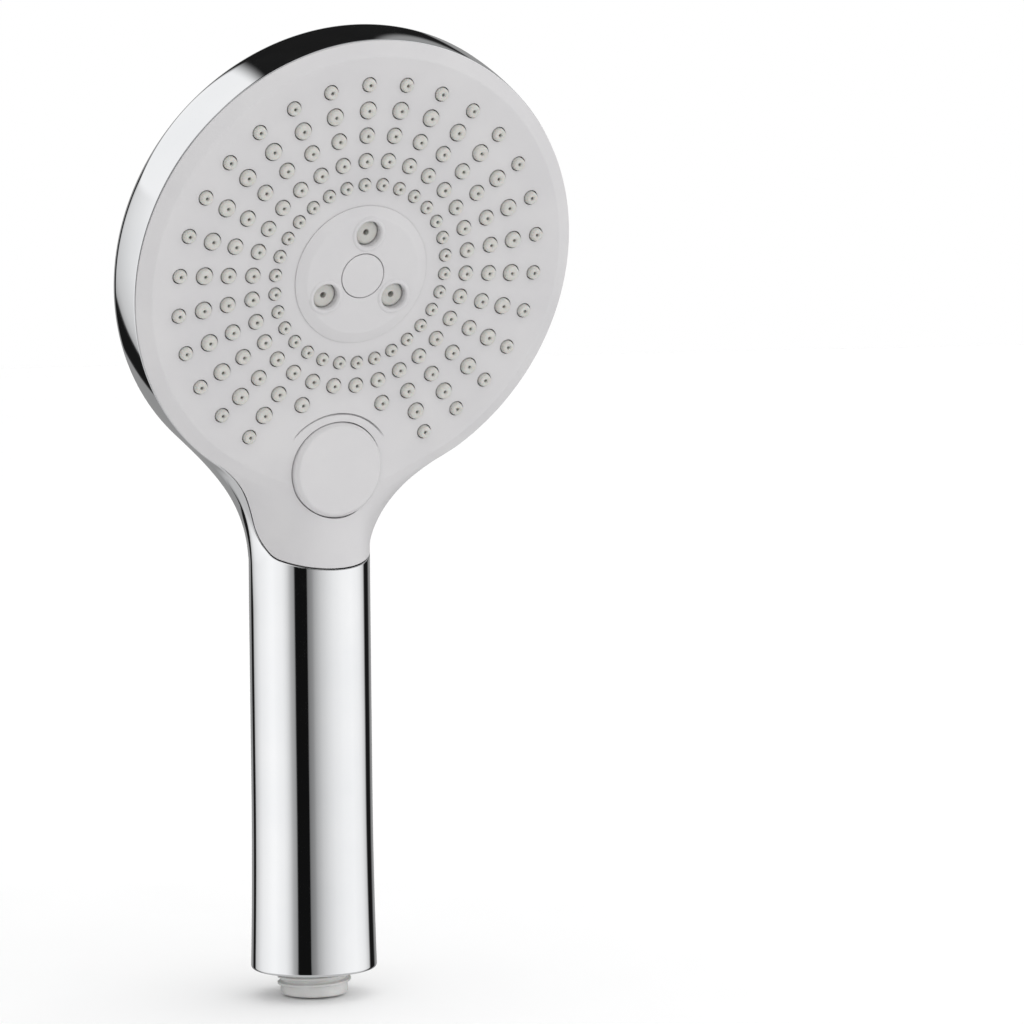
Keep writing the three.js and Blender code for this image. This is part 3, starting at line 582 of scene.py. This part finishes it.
def with_boolean(made, tool, operation):
    """Cuts or joins one closed mesh with another and removes the tool."""
    modifier = made.modifiers.new("boolean", "BOOLEAN")
    modifier.operation = operation
    modifier.object = tool
    modifier.solver = "MANIFOLD"
    graph = bpy.context.evaluated_depsgraph_get()
    mesh = bpy.data.meshes.new_from_object(made.evaluated_get(graph))
    made.modifiers.clear()
    made.data = mesh
    bpy.data.objects.remove(tool)
    return made


def soften(made, degrees, surface=None):
    """Smooth shading with sharp edges past an angle. On the given surface, normals follow its own slope."""
    mesh = made.data
    mesh.shade_smooth()
    mesh.set_sharp_from_angle(angle=math.radians(degrees))
    if surface is None:
        return made
    corners = np.empty(len(mesh.loops) * 3)
    mesh.corner_normals.foreach_get("vector", corners)
    corners = corners.reshape(-1, 3)
    points = np.empty(len(mesh.vertices) * 3)
    mesh.vertices.foreach_get("co", points)
    points = points.reshape(-1, 3) / MM
    faces = np.empty(len(mesh.polygons) * 3)
    mesh.polygons.foreach_get("normal", faces)
    sizes = np.empty(len(mesh.polygons), int)
    mesh.polygons.foreach_get("loop_total", sizes)
    face_of = np.repeat(faces.reshape(-1, 3), sizes, axis=0)
    vertex_of = np.empty(len(mesh.loops), int)
    mesh.loops.foreach_get("vertex_index", vertex_of)
    true = outward(points, surface)[vertex_of]
    on_surface = (np.abs(surface(points)) < 0.02)[vertex_of]
    follows = on_surface & (np.sum(true * face_of, axis=1) > 0.97)
    corners[follows] = true[follows]
    mesh.normals_split_custom_set(corners.tolist())
    return made


# ---------------------------------------------------------------- procedural materials

class Look:
    """A Principled material built node by node, in the object's own coordinates."""

    def __init__(self, name):
        self.material = bpy.data.materials.new(name)
        self.material.use_nodes = True
        self.nodes = self.material.node_tree.nodes
        self.links = self.material.node_tree.links
        self.shader = self.nodes["Principled BSDF"]
        self.place = self.nodes.new("ShaderNodeTexCoord").outputs["Object"]

    def set(self, **values):
        for name, value in values.items():
            self.shader.inputs[name.replace("_", " ")].default_value = value
        return self

    def node(self, kind, **settings):
        made = self.nodes.new(kind)
        for name, value in settings.items():
            if name in made.inputs:
                made.inputs[name].default_value = value
            else:
                setattr(made, name, value)
        return made

    def noise(self, scale, detail=3.0, stretch=None):
        """Noise with this many features to the metre, stretched along an axis if asked."""
        made = self.node("ShaderNodeTexNoise", Scale=scale, Detail=detail)
        source = self.place
        if stretch is not None:
            mapping = self.node("ShaderNodeMapping", Scale=stretch)
            self.links.new(source, mapping.inputs["Vector"])
            source = mapping.outputs["Vector"]
        self.links.new(source, made.inputs["Vector"])
        return made.outputs["Fac"]

    def between(self, factor, low, high, start=0.3, end=0.7):
        made = self.node("ShaderNodeMapRange")
        made.inputs["From Min"].default_value = start
        made.inputs["From Max"].default_value = end
        made.inputs["To Min"].default_value = low
        made.inputs["To Max"].default_value = high
        self.links.new(factor, made.inputs["Value"])
        return made.outputs["Result"]

    def colour(self, factor, dark, light, start=0.3, end=0.7):
        made = self.node("ShaderNodeValToRGB")
        made.color_ramp.elements[0].position = start
        made.color_ramp.elements[1].position = end
        made.color_ramp.elements[0].color = (*dark, 1)
        made.color_ramp.elements[1].color = (*light, 1)
        self.links.new(factor, made.inputs["Fac"])
        self.links.new(made.outputs["Color"], self.shader.inputs["Base Color"])
        return self

    def roughness(self, factor, low, high, start=0.3, end=0.7):
        self.links.new(self.between(factor, low, high, start, end), self.shader.inputs["Roughness"])
        return self

    def bump(self, *layers):
        """Raises the surface by (factor, height in metres) layers, one after another."""
        previous = None
        for factor, height in layers:
            made = self.node("ShaderNodeBump", Strength=1.0, Distance=height)
            self.links.new(factor, made.inputs["Height"])
            if previous is not None:
                self.links.new(previous, made.inputs["Normal"])
            previous = made.outputs["Normal"]
        self.links.new(previous, self.shader.inputs["Normal"])
        return self


def chrome_look():
    look = Look("mirror_chrome")
    look.set(Metallic=1.0)
    smudges = look.noise(45, 4)
    look.colour(smudges, (0.83, 0.84, 0.855), (0.875, 0.88, 0.89))
    look.roughness(look.noise(160, 6), 0.022, 0.055)
    look.bump((look.noise(38, 1), 2.5e-5), (look.noise(3200, 2), 2.5e-7))
    return look.material


def white_plastic_look():
    look = Look("satin_white_abs")
    look.set(IOR=1.5, Specular_IOR_Level=0.42)
    look.colour(look.noise(60, 5), (0.548, 0.54, 0.55), (0.578, 0.57, 0.576))
    look.roughness(look.noise(700, 4), 0.36, 0.46)
    look.bump((look.noise(4200, 3), 3.0e-6), (look.noise(110, 1), 1.2e-5))
    return look.material


def silicone_look():
    look = Look("grey_silicone")
    look.set(IOR=1.41, Specular_IOR_Level=0.35, Subsurface_Weight=0.08, Subsurface_Scale=0.0008)
    look.colour(look.noise(420, 5), (0.50, 0.495, 0.47), (0.56, 0.555, 0.53))
    look.roughness(look.noise(1500, 3), 0.46, 0.6)
    look.bump((look.noise(5200, 3), 4.0e-6))
    return look.material


def natural_plastic_look():
    look = Look("milky_plastic")
    look.set(IOR=1.49, Subsurface_Weight=0.1, Subsurface_Scale=0.0015)
    # Base colour: the plastic's own milky tone, made darker all over as painted shade standing in for the shadow
    # the handle's foot casts on the inlet.
    look.colour(look.noise(240, 4), (0.62, 0.62, 0.61), (0.70, 0.70, 0.69))
    look.roughness(look.noise(1300, 4), 0.3, 0.44)
    look.bump((look.noise(2600, 3), 5.0e-6))
    return look.material


def inner_plastic_look():
    look = Look("inner_plastic")
    look.set(IOR=1.5)
    look.colour(look.noise(150, 5), (0.58, 0.58, 0.54), (0.66, 0.66, 0.62))
    look.roughness(look.noise(900, 3), 0.45, 0.6)
    look.bump((look.noise(3000, 3), 6.0e-6))
    return look.material


def steel_look():
    look = Look("stainless_steel")
    look.set(Metallic=1.0)
    brushed = look.noise(1200, 4, stretch=(1, 1, 14))
    look.colour(brushed, (0.55, 0.56, 0.57), (0.68, 0.69, 0.70))
    look.roughness(brushed, 0.2, 0.38)
    look.bump((brushed, 2.0e-6))
    return look.material


def rubber_look():
    look = Look("black_rubber")
    look.set(IOR=1.5, Specular_IOR_Level=0.3)
    look.colour(look.noise(800, 5), (0.018, 0.018, 0.018), (0.035, 0.035, 0.036))
    look.roughness(look.noise(1800, 3), 0.6, 0.78)
    look.bump((look.noise(4000, 3), 5.0e-6))
    return look.material


def floor_look():
    look = Look("studio_floor")
    look.set(Specular_IOR_Level=0.15)
    look.colour(look.noise(3, 4), (0.935, 0.935, 0.935), (0.945, 0.945, 0.945))
    look.roughness(look.noise(40, 3), 0.7, 0.8)
    return look.material


LOOKS = {
    "chrome_shell": chrome_look(),
    "white_abs": white_plastic_look(),
    "grey_silicone": silicone_look(),
    "natural_plastic": natural_plastic_look(),
    "inner_plastic": inner_plastic_look(),
    "steel": steel_look(),
    "seal_rubber": rubber_look(),
}


def piece(made, slot, node, body="shower_body"):
    """Gives a piece its body and the material for its slot, and hides the CAD node it stands for."""
    made.data.materials.clear()
    made.data.materials.append(LOOKS[slot])
    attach(made, body)
    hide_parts(node)
    return made


# ---------------------------------------------------------------- body and face plate

FOOT_HOLE = 11.5


def form_sheet():
    """The outer form from the hole in the foot to the top of the head."""
    turns = np.radians(np.concatenate([
        np.arange(0, 41, 1.6), np.arange(41, 51.5, 0.4), np.arange(51.8, 131, 1.6), np.linspace(131, 180, 26),
    ]))
    fan_steps = 120
    right = ribs(stations((12, 110, 50), 84, fan_steps), turns, form_distance)
    for column in (0, -1):
        right[-fan_steps:, column] = right[-1, column]
    rows = [(FOOT_HOLE, HANDLE_FOOT), ((FOOT_HOLE + HANDLE_RADIUS) / 2, HANDLE_FOOT)]
    for degrees in range(0, 91, 15):
        angle = math.radians(degrees)
        z = HANDLE_FOOT + HANDLE_FOOT_EDGE * (1 - math.cos(angle))
        rows.append((handle_radius(z) - HANDLE_FOOT_EDGE * (1 - math.sin(angle)), z))
    foot = np.array([
        np.stack([radius * np.sin(turns), -radius * np.cos(turns), np.full(len(turns), z)], axis=1)
        for radius, z in rows
    ])
    right = np.concatenate([foot, right])
    left = right * np.array((-1.0, 1.0, 1.0))
    return welded([sheet_of(right, False), sheet_of(left, True)])


def body_piece(sheet):
    trimmed_sheet = trimmed(*sheet, lambda points: seam_reach(points) - seam_gap(points) - LIP)
    points, triangles, normals = lipped_shell(*trimmed_sheet, 1, foot_hole=True)
    return piece(object_of("chrome_body", points, triangles, normals), "chrome_shell", "body_shell")


NOZZLE_PITCH = 12
NOZZLE_RINGS = [
    (25.86, 1.65, 0),
    (32.65, 2.0, 0),
    (39.85, 2.05, 2),
    (46.96, 2.25, 4),
    (54.17, 1.85, 4),
]
NOZZLE_GAP = 0.3
MAT_FRONT = 3.9
MAT_BACK = 5.4
MAT_RADIUS = 60.0
DISC_RADIUS = 19.9
DISC_TOP_RADIUS = 17.3
DISC_PLUG_RADIUS = 17.2
DISC_BACK = 5.4
BUTTON_RADIUS = 13.5
BUTTON_HOLE = 13.75
BUTTON_SKIRT = 6.5
BOSS_CENTRE = -58.0
BOSS_RADIUS = 17.1
BOSS_TOP = -0.85
BOSS_ARCH = 55.0
BOSS_FALL_START = 12.0
BOSS_FALL = 0.05
BOSS_EDGE = 0.22
BOSS_FOOT = -6
GROOVE_WIDTH = 0.5
GROOVE_DEPTH = 1.1
GROOVE_ENDS = (36, 144)
GROOVE_TAPER = 14
GUIDE_RADIUS = 15.4
GUIDE_DEPTH = 9.5


def nozzle_sites():
    for radius, stud, missing in NOZZLE_RINGS:
        first = 270 + NOZZLE_PITCH * (missing + 1) / 2
        for i in range(360 // NOZZLE_PITCH - missing):
            angle = math.radians(first + NOZZLE_PITCH * i)
            yield radius * math.cos(angle), radius * math.sin(angle), stud


def boss_height(points):
    """How far out along the face's axis the surround's top is: arched like the neck, and falling away below."""
    heights = points.copy()
    for _ in range(8):
        across, up, out = seen_from(placed(heights, FACE), BUTTON).T
        top = BOSS_TOP - across ** 2 / (2 * BOSS_ARCH) - BOSS_FALL * np.maximum(BOSS_FALL_START - up, 0) ** 2
        heights[:, 2] += (top - out) / (BUTTON[:3, 2] @ FACE[:3, 2])
    return heights[:, 2]


def button_boss():
    """The raised surround above the button. Its upper edge stands square to the face."""
    outline = [(radius, 0.0) for radius in np.linspace(0, BOSS_RADIUS - BOSS_EDGE, 14)[1:]]
    for degrees in (30, 60, 90):
        angle = math.radians(degrees)
        outline.append((BOSS_RADIUS - BOSS_EDGE * (1 - math.sin(angle)), -BOSS_EDGE * (1 - math.cos(angle))))
    points, triangles = turned([(0, 0), *outline, (BOSS_RADIUS, BOSS_FOOT), (0, BOSS_FOOT)], 144, up=BOSS_CENTRE)
    tops = points[:, 2] > -1
    points[tops, 2] += np.maximum(boss_height(points * np.array((1.0, 1.0, 0.0)))[tops], BOSS_FOOT + 1)
    return placed(points, FACE), triangles


def face_height(across, up):
    """How far out along the face's axis the outer form is at these places."""
    start = -8.0
    deep = np.stack([across, up, np.full(len(across), start)], axis=1)
    return reach_of(placed(deep, FACE), np.tile(face_out, (len(across), 1)), form_distance) + start


def boss_groove():
    """A fine groove round the foot of the surround's upper edge. It comes up out of the face at both ends."""
    angles = np.radians(np.arange(GROOVE_ENDS[0], GROOVE_ENDS[1] + 1, 1.0))
    from_end = np.minimum(angles - angles[0], angles[-1] - angles) / math.radians(GROOVE_TAPER)
    depth = GROOVE_DEPTH * np.clip(from_end, 0, 1) - 0.02
    inner, outer = BOSS_RADIUS - 0.02, BOSS_RADIUS + GROOVE_WIDTH
    surface = face_height(outer * np.cos(angles), BOSS_CENTRE + outer * np.sin(angles))
    rows = []
    high, low = surface + 3, surface - depth
    for radius, out in ((inner, high), (outer, high), (outer, low), (inner, low)):
        rows.append(np.stack([radius * np.cos(angles), BOSS_CENTRE + radius * np.sin(angles), out], axis=1))
    count = len(angles)
    starts = np.arange(4) * count
    made = []
    for here, following in zip(starts, np.roll(starts, -1)):
        first, second = here + np.arange(count), following + np.arange(count)
        made.append(np.stack([first[:-1], first[1:], second[1:]], axis=1))
        made.append(np.stack([first[:-1], second[1:], second[:-1]], axis=1))
    for a, b, c, d in (starts, starts[::-1] + count - 1):
        made.append(np.array([(a, b, c), (a, c, d)]))
    points, triangles = np.concatenate(rows), np.concatenate(made)
    return placed(points, FACE), facing_out(points, triangles)


def plate_piece(sheet):
    trimmed_sheet = trimmed(*sheet, lambda points: -seam_reach(points) - LIP)
    points, triangles, normals = lipped_shell(*trimmed_sheet, -1)
    plate = object_of("front_plate", points, triangles, normals)
    with_boolean(plate, object_of("boss", *button_boss()), "UNION")
    with_boolean(plate, object_of("groove", *boss_groove()), "DIFFERENCE")
    guide = bar(GUIDE_RADIUS, -GUIDE_DEPTH, -4.4, 96, BUTTON)
    with_boolean(plate, object_of("guide", *guide), "UNION")
    holes = [bar(stud + NOZZLE_GAP, -6, 2, 28, FACE, x, y) for x, y, stud in nozzle_sites()]
    holes.append(bar(DISC_PLUG_RADIUS + 0.3, -6, 2, 96, FACE))
    with_boolean(plate, object_of("holes", *together(holes)), "DIFFERENCE")
    button_hole = bar(BUTTON_HOLE, -GUIDE_DEPTH - 1, 20, 144, BUTTON)
    with_boolean(plate, object_of("button_hole", *button_hole), "DIFFERENCE")
    soften(plate, 24, form_distance)
    return piece(plate, "white_abs", "face_plate")


# ---------------------------------------------------------------- nozzles, disc and button

def stud_profile(radius):
    """A silicone nozzle: rounded shoulder, slightly tapered side, and a dimple that leads into its bore."""
    bore, tip, root = 0.42, -NOZZLE_TIP, -MAT_FRONT - 0.5
    return rounded([
        (0, tip - 3.2, 0), (bore, tip - 3.2, 0), (bore, tip - 0.35, 0.08), (bore + 0.34, tip - 0.02, 0.1),
        (radius * 0.88, tip, radius * 0.3), (radius, tip - 1.3, 0.3), (radius, root, 0), (0, root, 0),
    ], step=24)


def nozzle_piece():
    opening = DISC_PLUG_RADIUS + 0.4
    section = [(opening, -MAT_FRONT), (MAT_RADIUS, -MAT_FRONT), (MAT_RADIUS, -MAT_BACK), (opening, -MAT_BACK)]
    made = object_of("nozzle_studs", *turned(section, 96, FACE))
    studs = [turned(stud_profile(stud), 24, FACE, x, y) for x, y, stud in nozzle_sites()]
    with_boolean(made, object_of("studs", *together(studs)), "UNION")
    notch = bar(BOSS_RADIUS + 0.3, -12, 6, 96, BUTTON)
    with_boolean(made, object_of("notch", *notch), "DIFFERENCE")
    return piece(soften(made, 40), "grey_silicone", "nozzle_mat")


JET_CIRCLE = 12.0
JET_RADIUS = 3.42
SCREW_SEAT = 4.2
SCREW_HOLE = 2.05
JET_ANGLES = (90, 210, 330)
CAP_RADIUS = 6.25


def jet_places():
    for degrees in JET_ANGLES:
        angle = math.radians(degrees)
        yield JET_CIRCLE * math.cos(angle), JET_CIRCLE * math.sin(angle)


def disc_piece():
    top = -DISC_FRONT
    edge = 0.28 - PLATE_FRONT
    profile = rounded([
        (0, top, 0), (DISC_TOP_RADIUS - 0.6, top, 2.6), (DISC_RADIUS, edge, 0.22),
        (DISC_RADIUS - 0.1, edge - 0.22, 0), (DISC_PLUG_RADIUS, edge - 0.22, 0),
        (DISC_PLUG_RADIUS, -DISC_BACK, 0), (0, -DISC_BACK, 0),
    ], step=6)
    made = object_of("spray_disc", *turned(profile, 160, FACE))
    collar = rounded([(0, top + 0.35, 0), (4.5, top + 0.35, 0.5), (5.1, top - 0.1, 0.2), (5.1, -1, 0), (0, -1, 0)])
    recess = rounded([
        (0, 4, 0), (4.1, 4, 0), (4.1, top + 0.42, 0.1), (3.62, top - 0.15, 0.6), (3.62, -6, 0), (0, -6, 0),
    ])
    with_boolean(made, object_of("collars", *together([
        turned(collar, 64, FACE, x, y) for x, y in jet_places()])), "UNION")
    seat = rounded([
        (0, 4, 0), (CAP_RADIUS + 0.45, 4, 0), (CAP_RADIUS + 0.4, top + 0.02, 0), (CAP_RADIUS + 0.2, top - 0.18, 0),
        (CAP_RADIUS + 0.2, -1.1, 0), (0, -1.1, 0),
    ])
    recesses = [turned(recess, 64, FACE, x, y) for x, y in jet_places()]
    with_boolean(made, object_of("recesses", *together(recesses)), "DIFFERENCE")
    screw_seat, screw_hole = bar(SCREW_SEAT, -3.2, 0, 48, FACE), bar(SCREW_HOLE, -8, 0, 32, FACE)
    for seat_part in (turned(seat, 128, FACE), screw_seat, screw_hole):
        with_boolean(made, object_of("seat", *seat_part), "DIFFERENCE")
    return piece(soften(made, 32), "white_abs", "centre_disc")


def cap_piece():
    top = -DISC_FRONT
    profile = rounded([(0, top, 0), (CAP_RADIUS, top, 0.2), (CAP_RADIUS, -0.9, 0.1), (0, -0.9, 0)])
    return piece(soften(object_of("disc_cap", *turned(profile, 128, FACE)), 50), "white_abs", "centre_cap")


def jet_piece(number, x, y):
    """A massage nozzle: a shallow cup round a wide bore."""
    profile = rounded([
        (0, -4.4, 0), (0.85, -4.4, 0), (0.85, -0.75, 0.12), (1.6, -0.58, 0.3), (2.9, -0.5, 0.5),
        (JET_RADIUS, -0.85, 0.2), (JET_RADIUS, -5.3, 0), (0, -5.3, 0),
    ])
    made = object_of(f"massage_jet_{number}", *turned(profile, 64, FACE, x, y))
    return piece(soften(made, 50), "grey_silicone", f"massage_nozzle_{number}")


def button_pieces():
    inner = BUTTON_RADIUS - 1.5
    roof = -1.9
    sleeve = 4.7
    profile = rounded([
        (0, 0.0, 0), (6.0, -0.02, 0), (BUTTON_RADIUS - 1.1, -0.1, 0.8), (BUTTON_RADIUS, -1.2, 1.1),
        (BUTTON_RADIUS, -BUTTON_SKIRT, 0.2), (inner, -BUTTON_SKIRT, 0.2), (inner, roof, 0.4), (sleeve, roof, 0),
        (sleeve, -6, 0), (3.35, -6, 0), (3.35, roof, 0), (0, roof, 0),
    ], step=8)
    made = object_of("selector_button", *turned(profile, 144, BUTTON))
    return piece(soften(made, 35), "white_abs", "push_button", body="button")


# ---------------------------------------------------------------- inlet and water tube

THREAD_RADIUS = 10.45
THREAD_ROOT = 9.35
THREAD_PITCH = 1.814
THREAD_START = 1.4
THREAD_END = 7.4
THREAD_BLANK = 9.62
THREAD_RUN_IN = 1.7
INLET_BORE = 6.5
TUBE_RADIUS = 6.5
TUBE_BORE = 3.9
TUBE_TOP = 133.0
O_RING_HEIGHTS = (125.4, 129.8)
COLLAR_RADIUS = 11.2


def threaded(radius, z, angles):
    """The radius of a helical thread that fades in at its start."""
    if not THREAD_START - THREAD_PITCH <= z <= THREAD_END or radius > THREAD_RADIUS or radius < THREAD_ROOT - 0.01:
        return np.full(len(angles), radius)
    turn = (z - THREAD_START) / THREAD_PITCH - angles / (2 * math.pi)
    ridge = np.abs((turn % 1) - 0.5) * 2
    rise = np.clip(1.5 - 2.1 * ridge, 0, 1)
    rise = rise * rise * (3 - 2 * rise)
    started = np.clip((turn + 0.25) * 4, 0, 1)
    return radius + (THREAD_RADIUS - radius) * rise * started


def inlet_piece():
    flange = HANDLE_FOOT + 3.3
    start = rounded([
        (INLET_BORE, 0, 0.3), (9.5, 0, 0.8), (THREAD_BLANK, THREAD_RUN_IN, 0), (INLET_BORE, 1, 0),
    ])[:-1]
    thread = []
    for z in np.arange(THREAD_RUN_IN + 0.1, THREAD_END, 0.1):
        thread.append((THREAD_BLANK + (THREAD_ROOT - THREAD_BLANK) * min((z - THREAD_RUN_IN) / 1.5, 1), z))
    grooves = []
    for z in O_RING_HEIGHTS:
        grooves += [(TUBE_RADIUS, z - 0.9, 0), (5.0, z - 0.9, 0), (5.0, z + 0.9, 0), (TUBE_RADIUS, z + 0.9, 0)]
    rest = rounded([
        (THREAD_ROOT, THREAD_END, 0), (COLLAR_RADIUS, THREAD_END, 0.3), (COLLAR_RADIUS, flange, 0),
        (14.2, flange, 0.3), (14.2, flange + 2.5, 0.4), (9, flange + 3, 1), (9, 23, 1), (TUBE_RADIUS, 26, 1),
        *grooves,
        (TUBE_RADIUS - 0.6, TUBE_TOP, 0), (TUBE_BORE, TUBE_TOP, 0), (TUBE_BORE, 20, 0.4), (INLET_BORE, 20, 0.4),
        (INLET_BORE, 5, 0),
    ])
    profile = [*start, *thread, *rest]
    made = object_of("threaded_inlet", *turned(profile, 160, ROW, shape=threaded))
    return piece(soften(made, 38), "natural_plastic", "inlet_tube")


# ---------------------------------------------------------------- building

sheet = form_sheet()
body_piece(sheet)
plate_piece(sheet)
nozzle_piece()
disc_piece()
cap_piece()
for jet_number, (jet_x, jet_y) in enumerate(jet_places(), start=1):
    jet_piece(jet_number, jet_x, jet_y)
button_pieces()
inlet_piece()

slot_of = {}
for part in frame["record"]["subparts"]:
    slot_of[part["node"]] = part["material_slot"]
for node, made in frame["nodes"].items():
    for holder in made.material_slots:
        holder.material = LOOKS[slot_of[node]]


# ---------------------------------------------------------------- studio

CAMERA_AZIMUTH = math.radians(-28.959)
CAMERA_ELEVATION = math.radians(3.739)
CAMERA_ROLL = math.radians(-0.498)
CAMERA_DISTANCE = 1.127749
CAMERA_LENS = 140.36


def add_camera():
    a, e, roll = CAMERA_AZIMUTH, CAMERA_ELEVATION, CAMERA_ROLL
    back = Vector((math.sin(a) * math.cos(e), -math.cos(a) * math.cos(e), math.sin(e)))
    right = Vector((math.cos(a), math.sin(a), 0))
    up = back.cross(right)
    turned_right = right * math.cos(roll) + up * math.sin(roll)
    turned_up = up * math.cos(roll) - right * math.sin(roll)
    target = Vector((0, 0, 0.140)) + right * 0.057432 + Vector((0, 0, -0.003544))
    camera = bpy.data.objects.new("camera", bpy.data.cameras.new("camera"))
    camera.data.lens = CAMERA_LENS
    camera.data.clip_start = 0.05
    camera.data.clip_end = 30
    turn = Matrix((turned_right, turned_up, back)).transposed().to_4x4()
    camera.matrix_world = Matrix.Translation(target + back * CAMERA_DISTANCE) @ turn
    bpy.context.scene.collection.objects.link(camera)
    bpy.context.scene.camera = camera


def add_floor():
    mesh = bpy.data.meshes.new("studio_floor")
    size = 6.0
    mesh.from_pydata([(-size, -size, 0), (size, -size, 0), (size, size, 0), (-size, size, 0)], [], [(0, 1, 2, 3)])
    floor = bpy.data.objects.new("studio_floor", mesh)
    floor.location.z = -0.0006
    floor.data.materials.append(floor_look())
    floor.visible_glossy = False
    bpy.context.scene.collection.objects.link(floor)


# Brightness of the studio's walls round the part, by degrees round it from the front, in the order they stand.
STUDIO_WALLS = [
    (-180, 0.30), (-150, 0.30), (-149, 0.01), (-136.5, 0.01), (-135, 0.45), (-131, 0.61), (-118, 0.83),
    (-108, 0.94), (-83, 1.06), (-75, 1.07), (-55, 0.97), (-49, 0.88), (-43, 0.72), (-37, 0.47), (-30, 0.32),
    (-28, 0.006), (-5.5, 0.006), (-4, 0.20), (4, 0.30), (9, 0.44), (21, 0.65), (33, 0.79), (45, 0.90),
    (64, 1.0), (85, 1.04), (102, 0.975), (111, 0.89), (122, 0.64), (127, 0.01), (144, 0.01), (155, 0.33),
    (180, 0.30),
]
STUDIO_FRONT = 243.96

# Overhead a dark strip runs from front to back, with this way across it. The even sky is brightest on this side.
CEILING_ACROSS = (0.903, -0.312, 0.294)
SKY_BRIGHT_SIDE = (0.25, 0.75, 0.6)


def add_world():
    """Mirror-like surfaces see panels and dark gaps. All else is lit by a sky that is brighter to one side."""
    world = bpy.data.worlds.new("studio")
    bpy.context.scene.world = world
    world.use_nodes = True
    nodes, links = world.node_tree.nodes, world.node_tree.links
    output = nodes["World Output"]
    nodes.remove(nodes["Background"])

    def math_node(operation, *inputs):
        made = nodes.new("ShaderNodeMath")
        made.operation = operation
        for i, value in enumerate(inputs):
            if isinstance(value, (int, float)):
                made.inputs[i].default_value = value
            else:
                links.new(value, made.inputs[i])
        return made.outputs[0]

    def range_node(value, *ends):
        made = nodes.new("ShaderNodeMapRange")
        made.interpolation_type = "SMOOTHSTEP"
        for name, end in zip(("From Min", "From Max", "To Min", "To Max"), ends):
            made.inputs[name].default_value = end
        links.new(value, made.inputs["Value"])
        return made.outputs["Result"]

    def mix_node(factor, low, high):
        return math_node("ADD", math_node("MULTIPLY", low, math_node("SUBTRACT", 1.0, factor)),
                         math_node("MULTIPLY", high, factor))

    def dot_node(vector, way):
        made = nodes.new("ShaderNodeVectorMath")
        made.operation = "DOT_PRODUCT"
        made.inputs[1].default_value = Vector(way).normalized()
        links.new(vector, made.inputs[0])
        return made.outputs["Value"]

    direction = nodes.new("ShaderNodeTexCoord").outputs["Generated"]
    turn = nodes.new("ShaderNodeVectorRotate")
    turn.rotation_type = "Z_AXIS"
    turn.inputs["Angle"].default_value = -math.radians(STUDIO_FRONT)
    links.new(direction, turn.inputs["Vector"])
    split_node = nodes.new("ShaderNodeSeparateXYZ")
    links.new(turn.outputs["Vector"], split_node.inputs["Vector"])
    x, y, z = split_node.outputs
    round_it = math_node("ARCTAN2", y, x)
    share = math_node("ADD", math_node("DIVIDE", round_it, 2 * math.pi), 0.5)
    ramp = nodes.new("ShaderNodeValToRGB")
    stops = ramp.color_ramp.elements
    stops.remove(stops[-1])
    stops[0].position = 0.0
    stops[0].color = (STUDIO_WALLS[0][1],) * 3 + (1,)
    for degrees, bright in STUDIO_WALLS[1:]:
        stop = stops.new(degrees / 360 + 0.5)
        stop.color = (bright, bright, bright, 1)
    links.new(share, ramp.inputs["Fac"])
    walls = nodes.new("ShaderNodeRGBToBW")
    links.new(ramp.outputs["Color"], walls.inputs["Color"])

    across = dot_node(direction, CEILING_ACROSS)
    ceiling = mix_node(range_node(across, -0.13, -0.03, 0.0, 1.0), 1.0, 0.012)
    ceiling = mix_node(range_node(across, 0.40, 0.44, 0.0, 1.0), ceiling, 0.3)
    high = range_node(z, 0.28, 0.33, 0.0, 1.0)
    below = range_node(z, -0.75, -0.45, 1.0, 0.0)
    reflected = mix_node(below, mix_node(high, walls.outputs["Val"], ceiling), 0.55)

    lighting = range_node(dot_node(turn.outputs["Vector"], SKY_BRIGHT_SIDE), -0.9, 0.95, 0.3, 1.42)

    rays = nodes.new("ShaderNodeLightPath")
    seen = mix_node(rays.outputs["Is Glossy Ray"], lighting, reflected)
    seen = mix_node(rays.outputs["Is Camera Ray"], seen, 1.0)
    background = nodes.new("ShaderNodeBackground")
    background.inputs["Color"].default_value = (1, 1, 1, 1)
    links.new(seen, background.inputs["Strength"])
    links.new(background.outputs["Background"], output.inputs["Surface"])


add_camera()
add_floor()
add_world()
bpy.context.scene.view_settings.view_transform = "Standard"
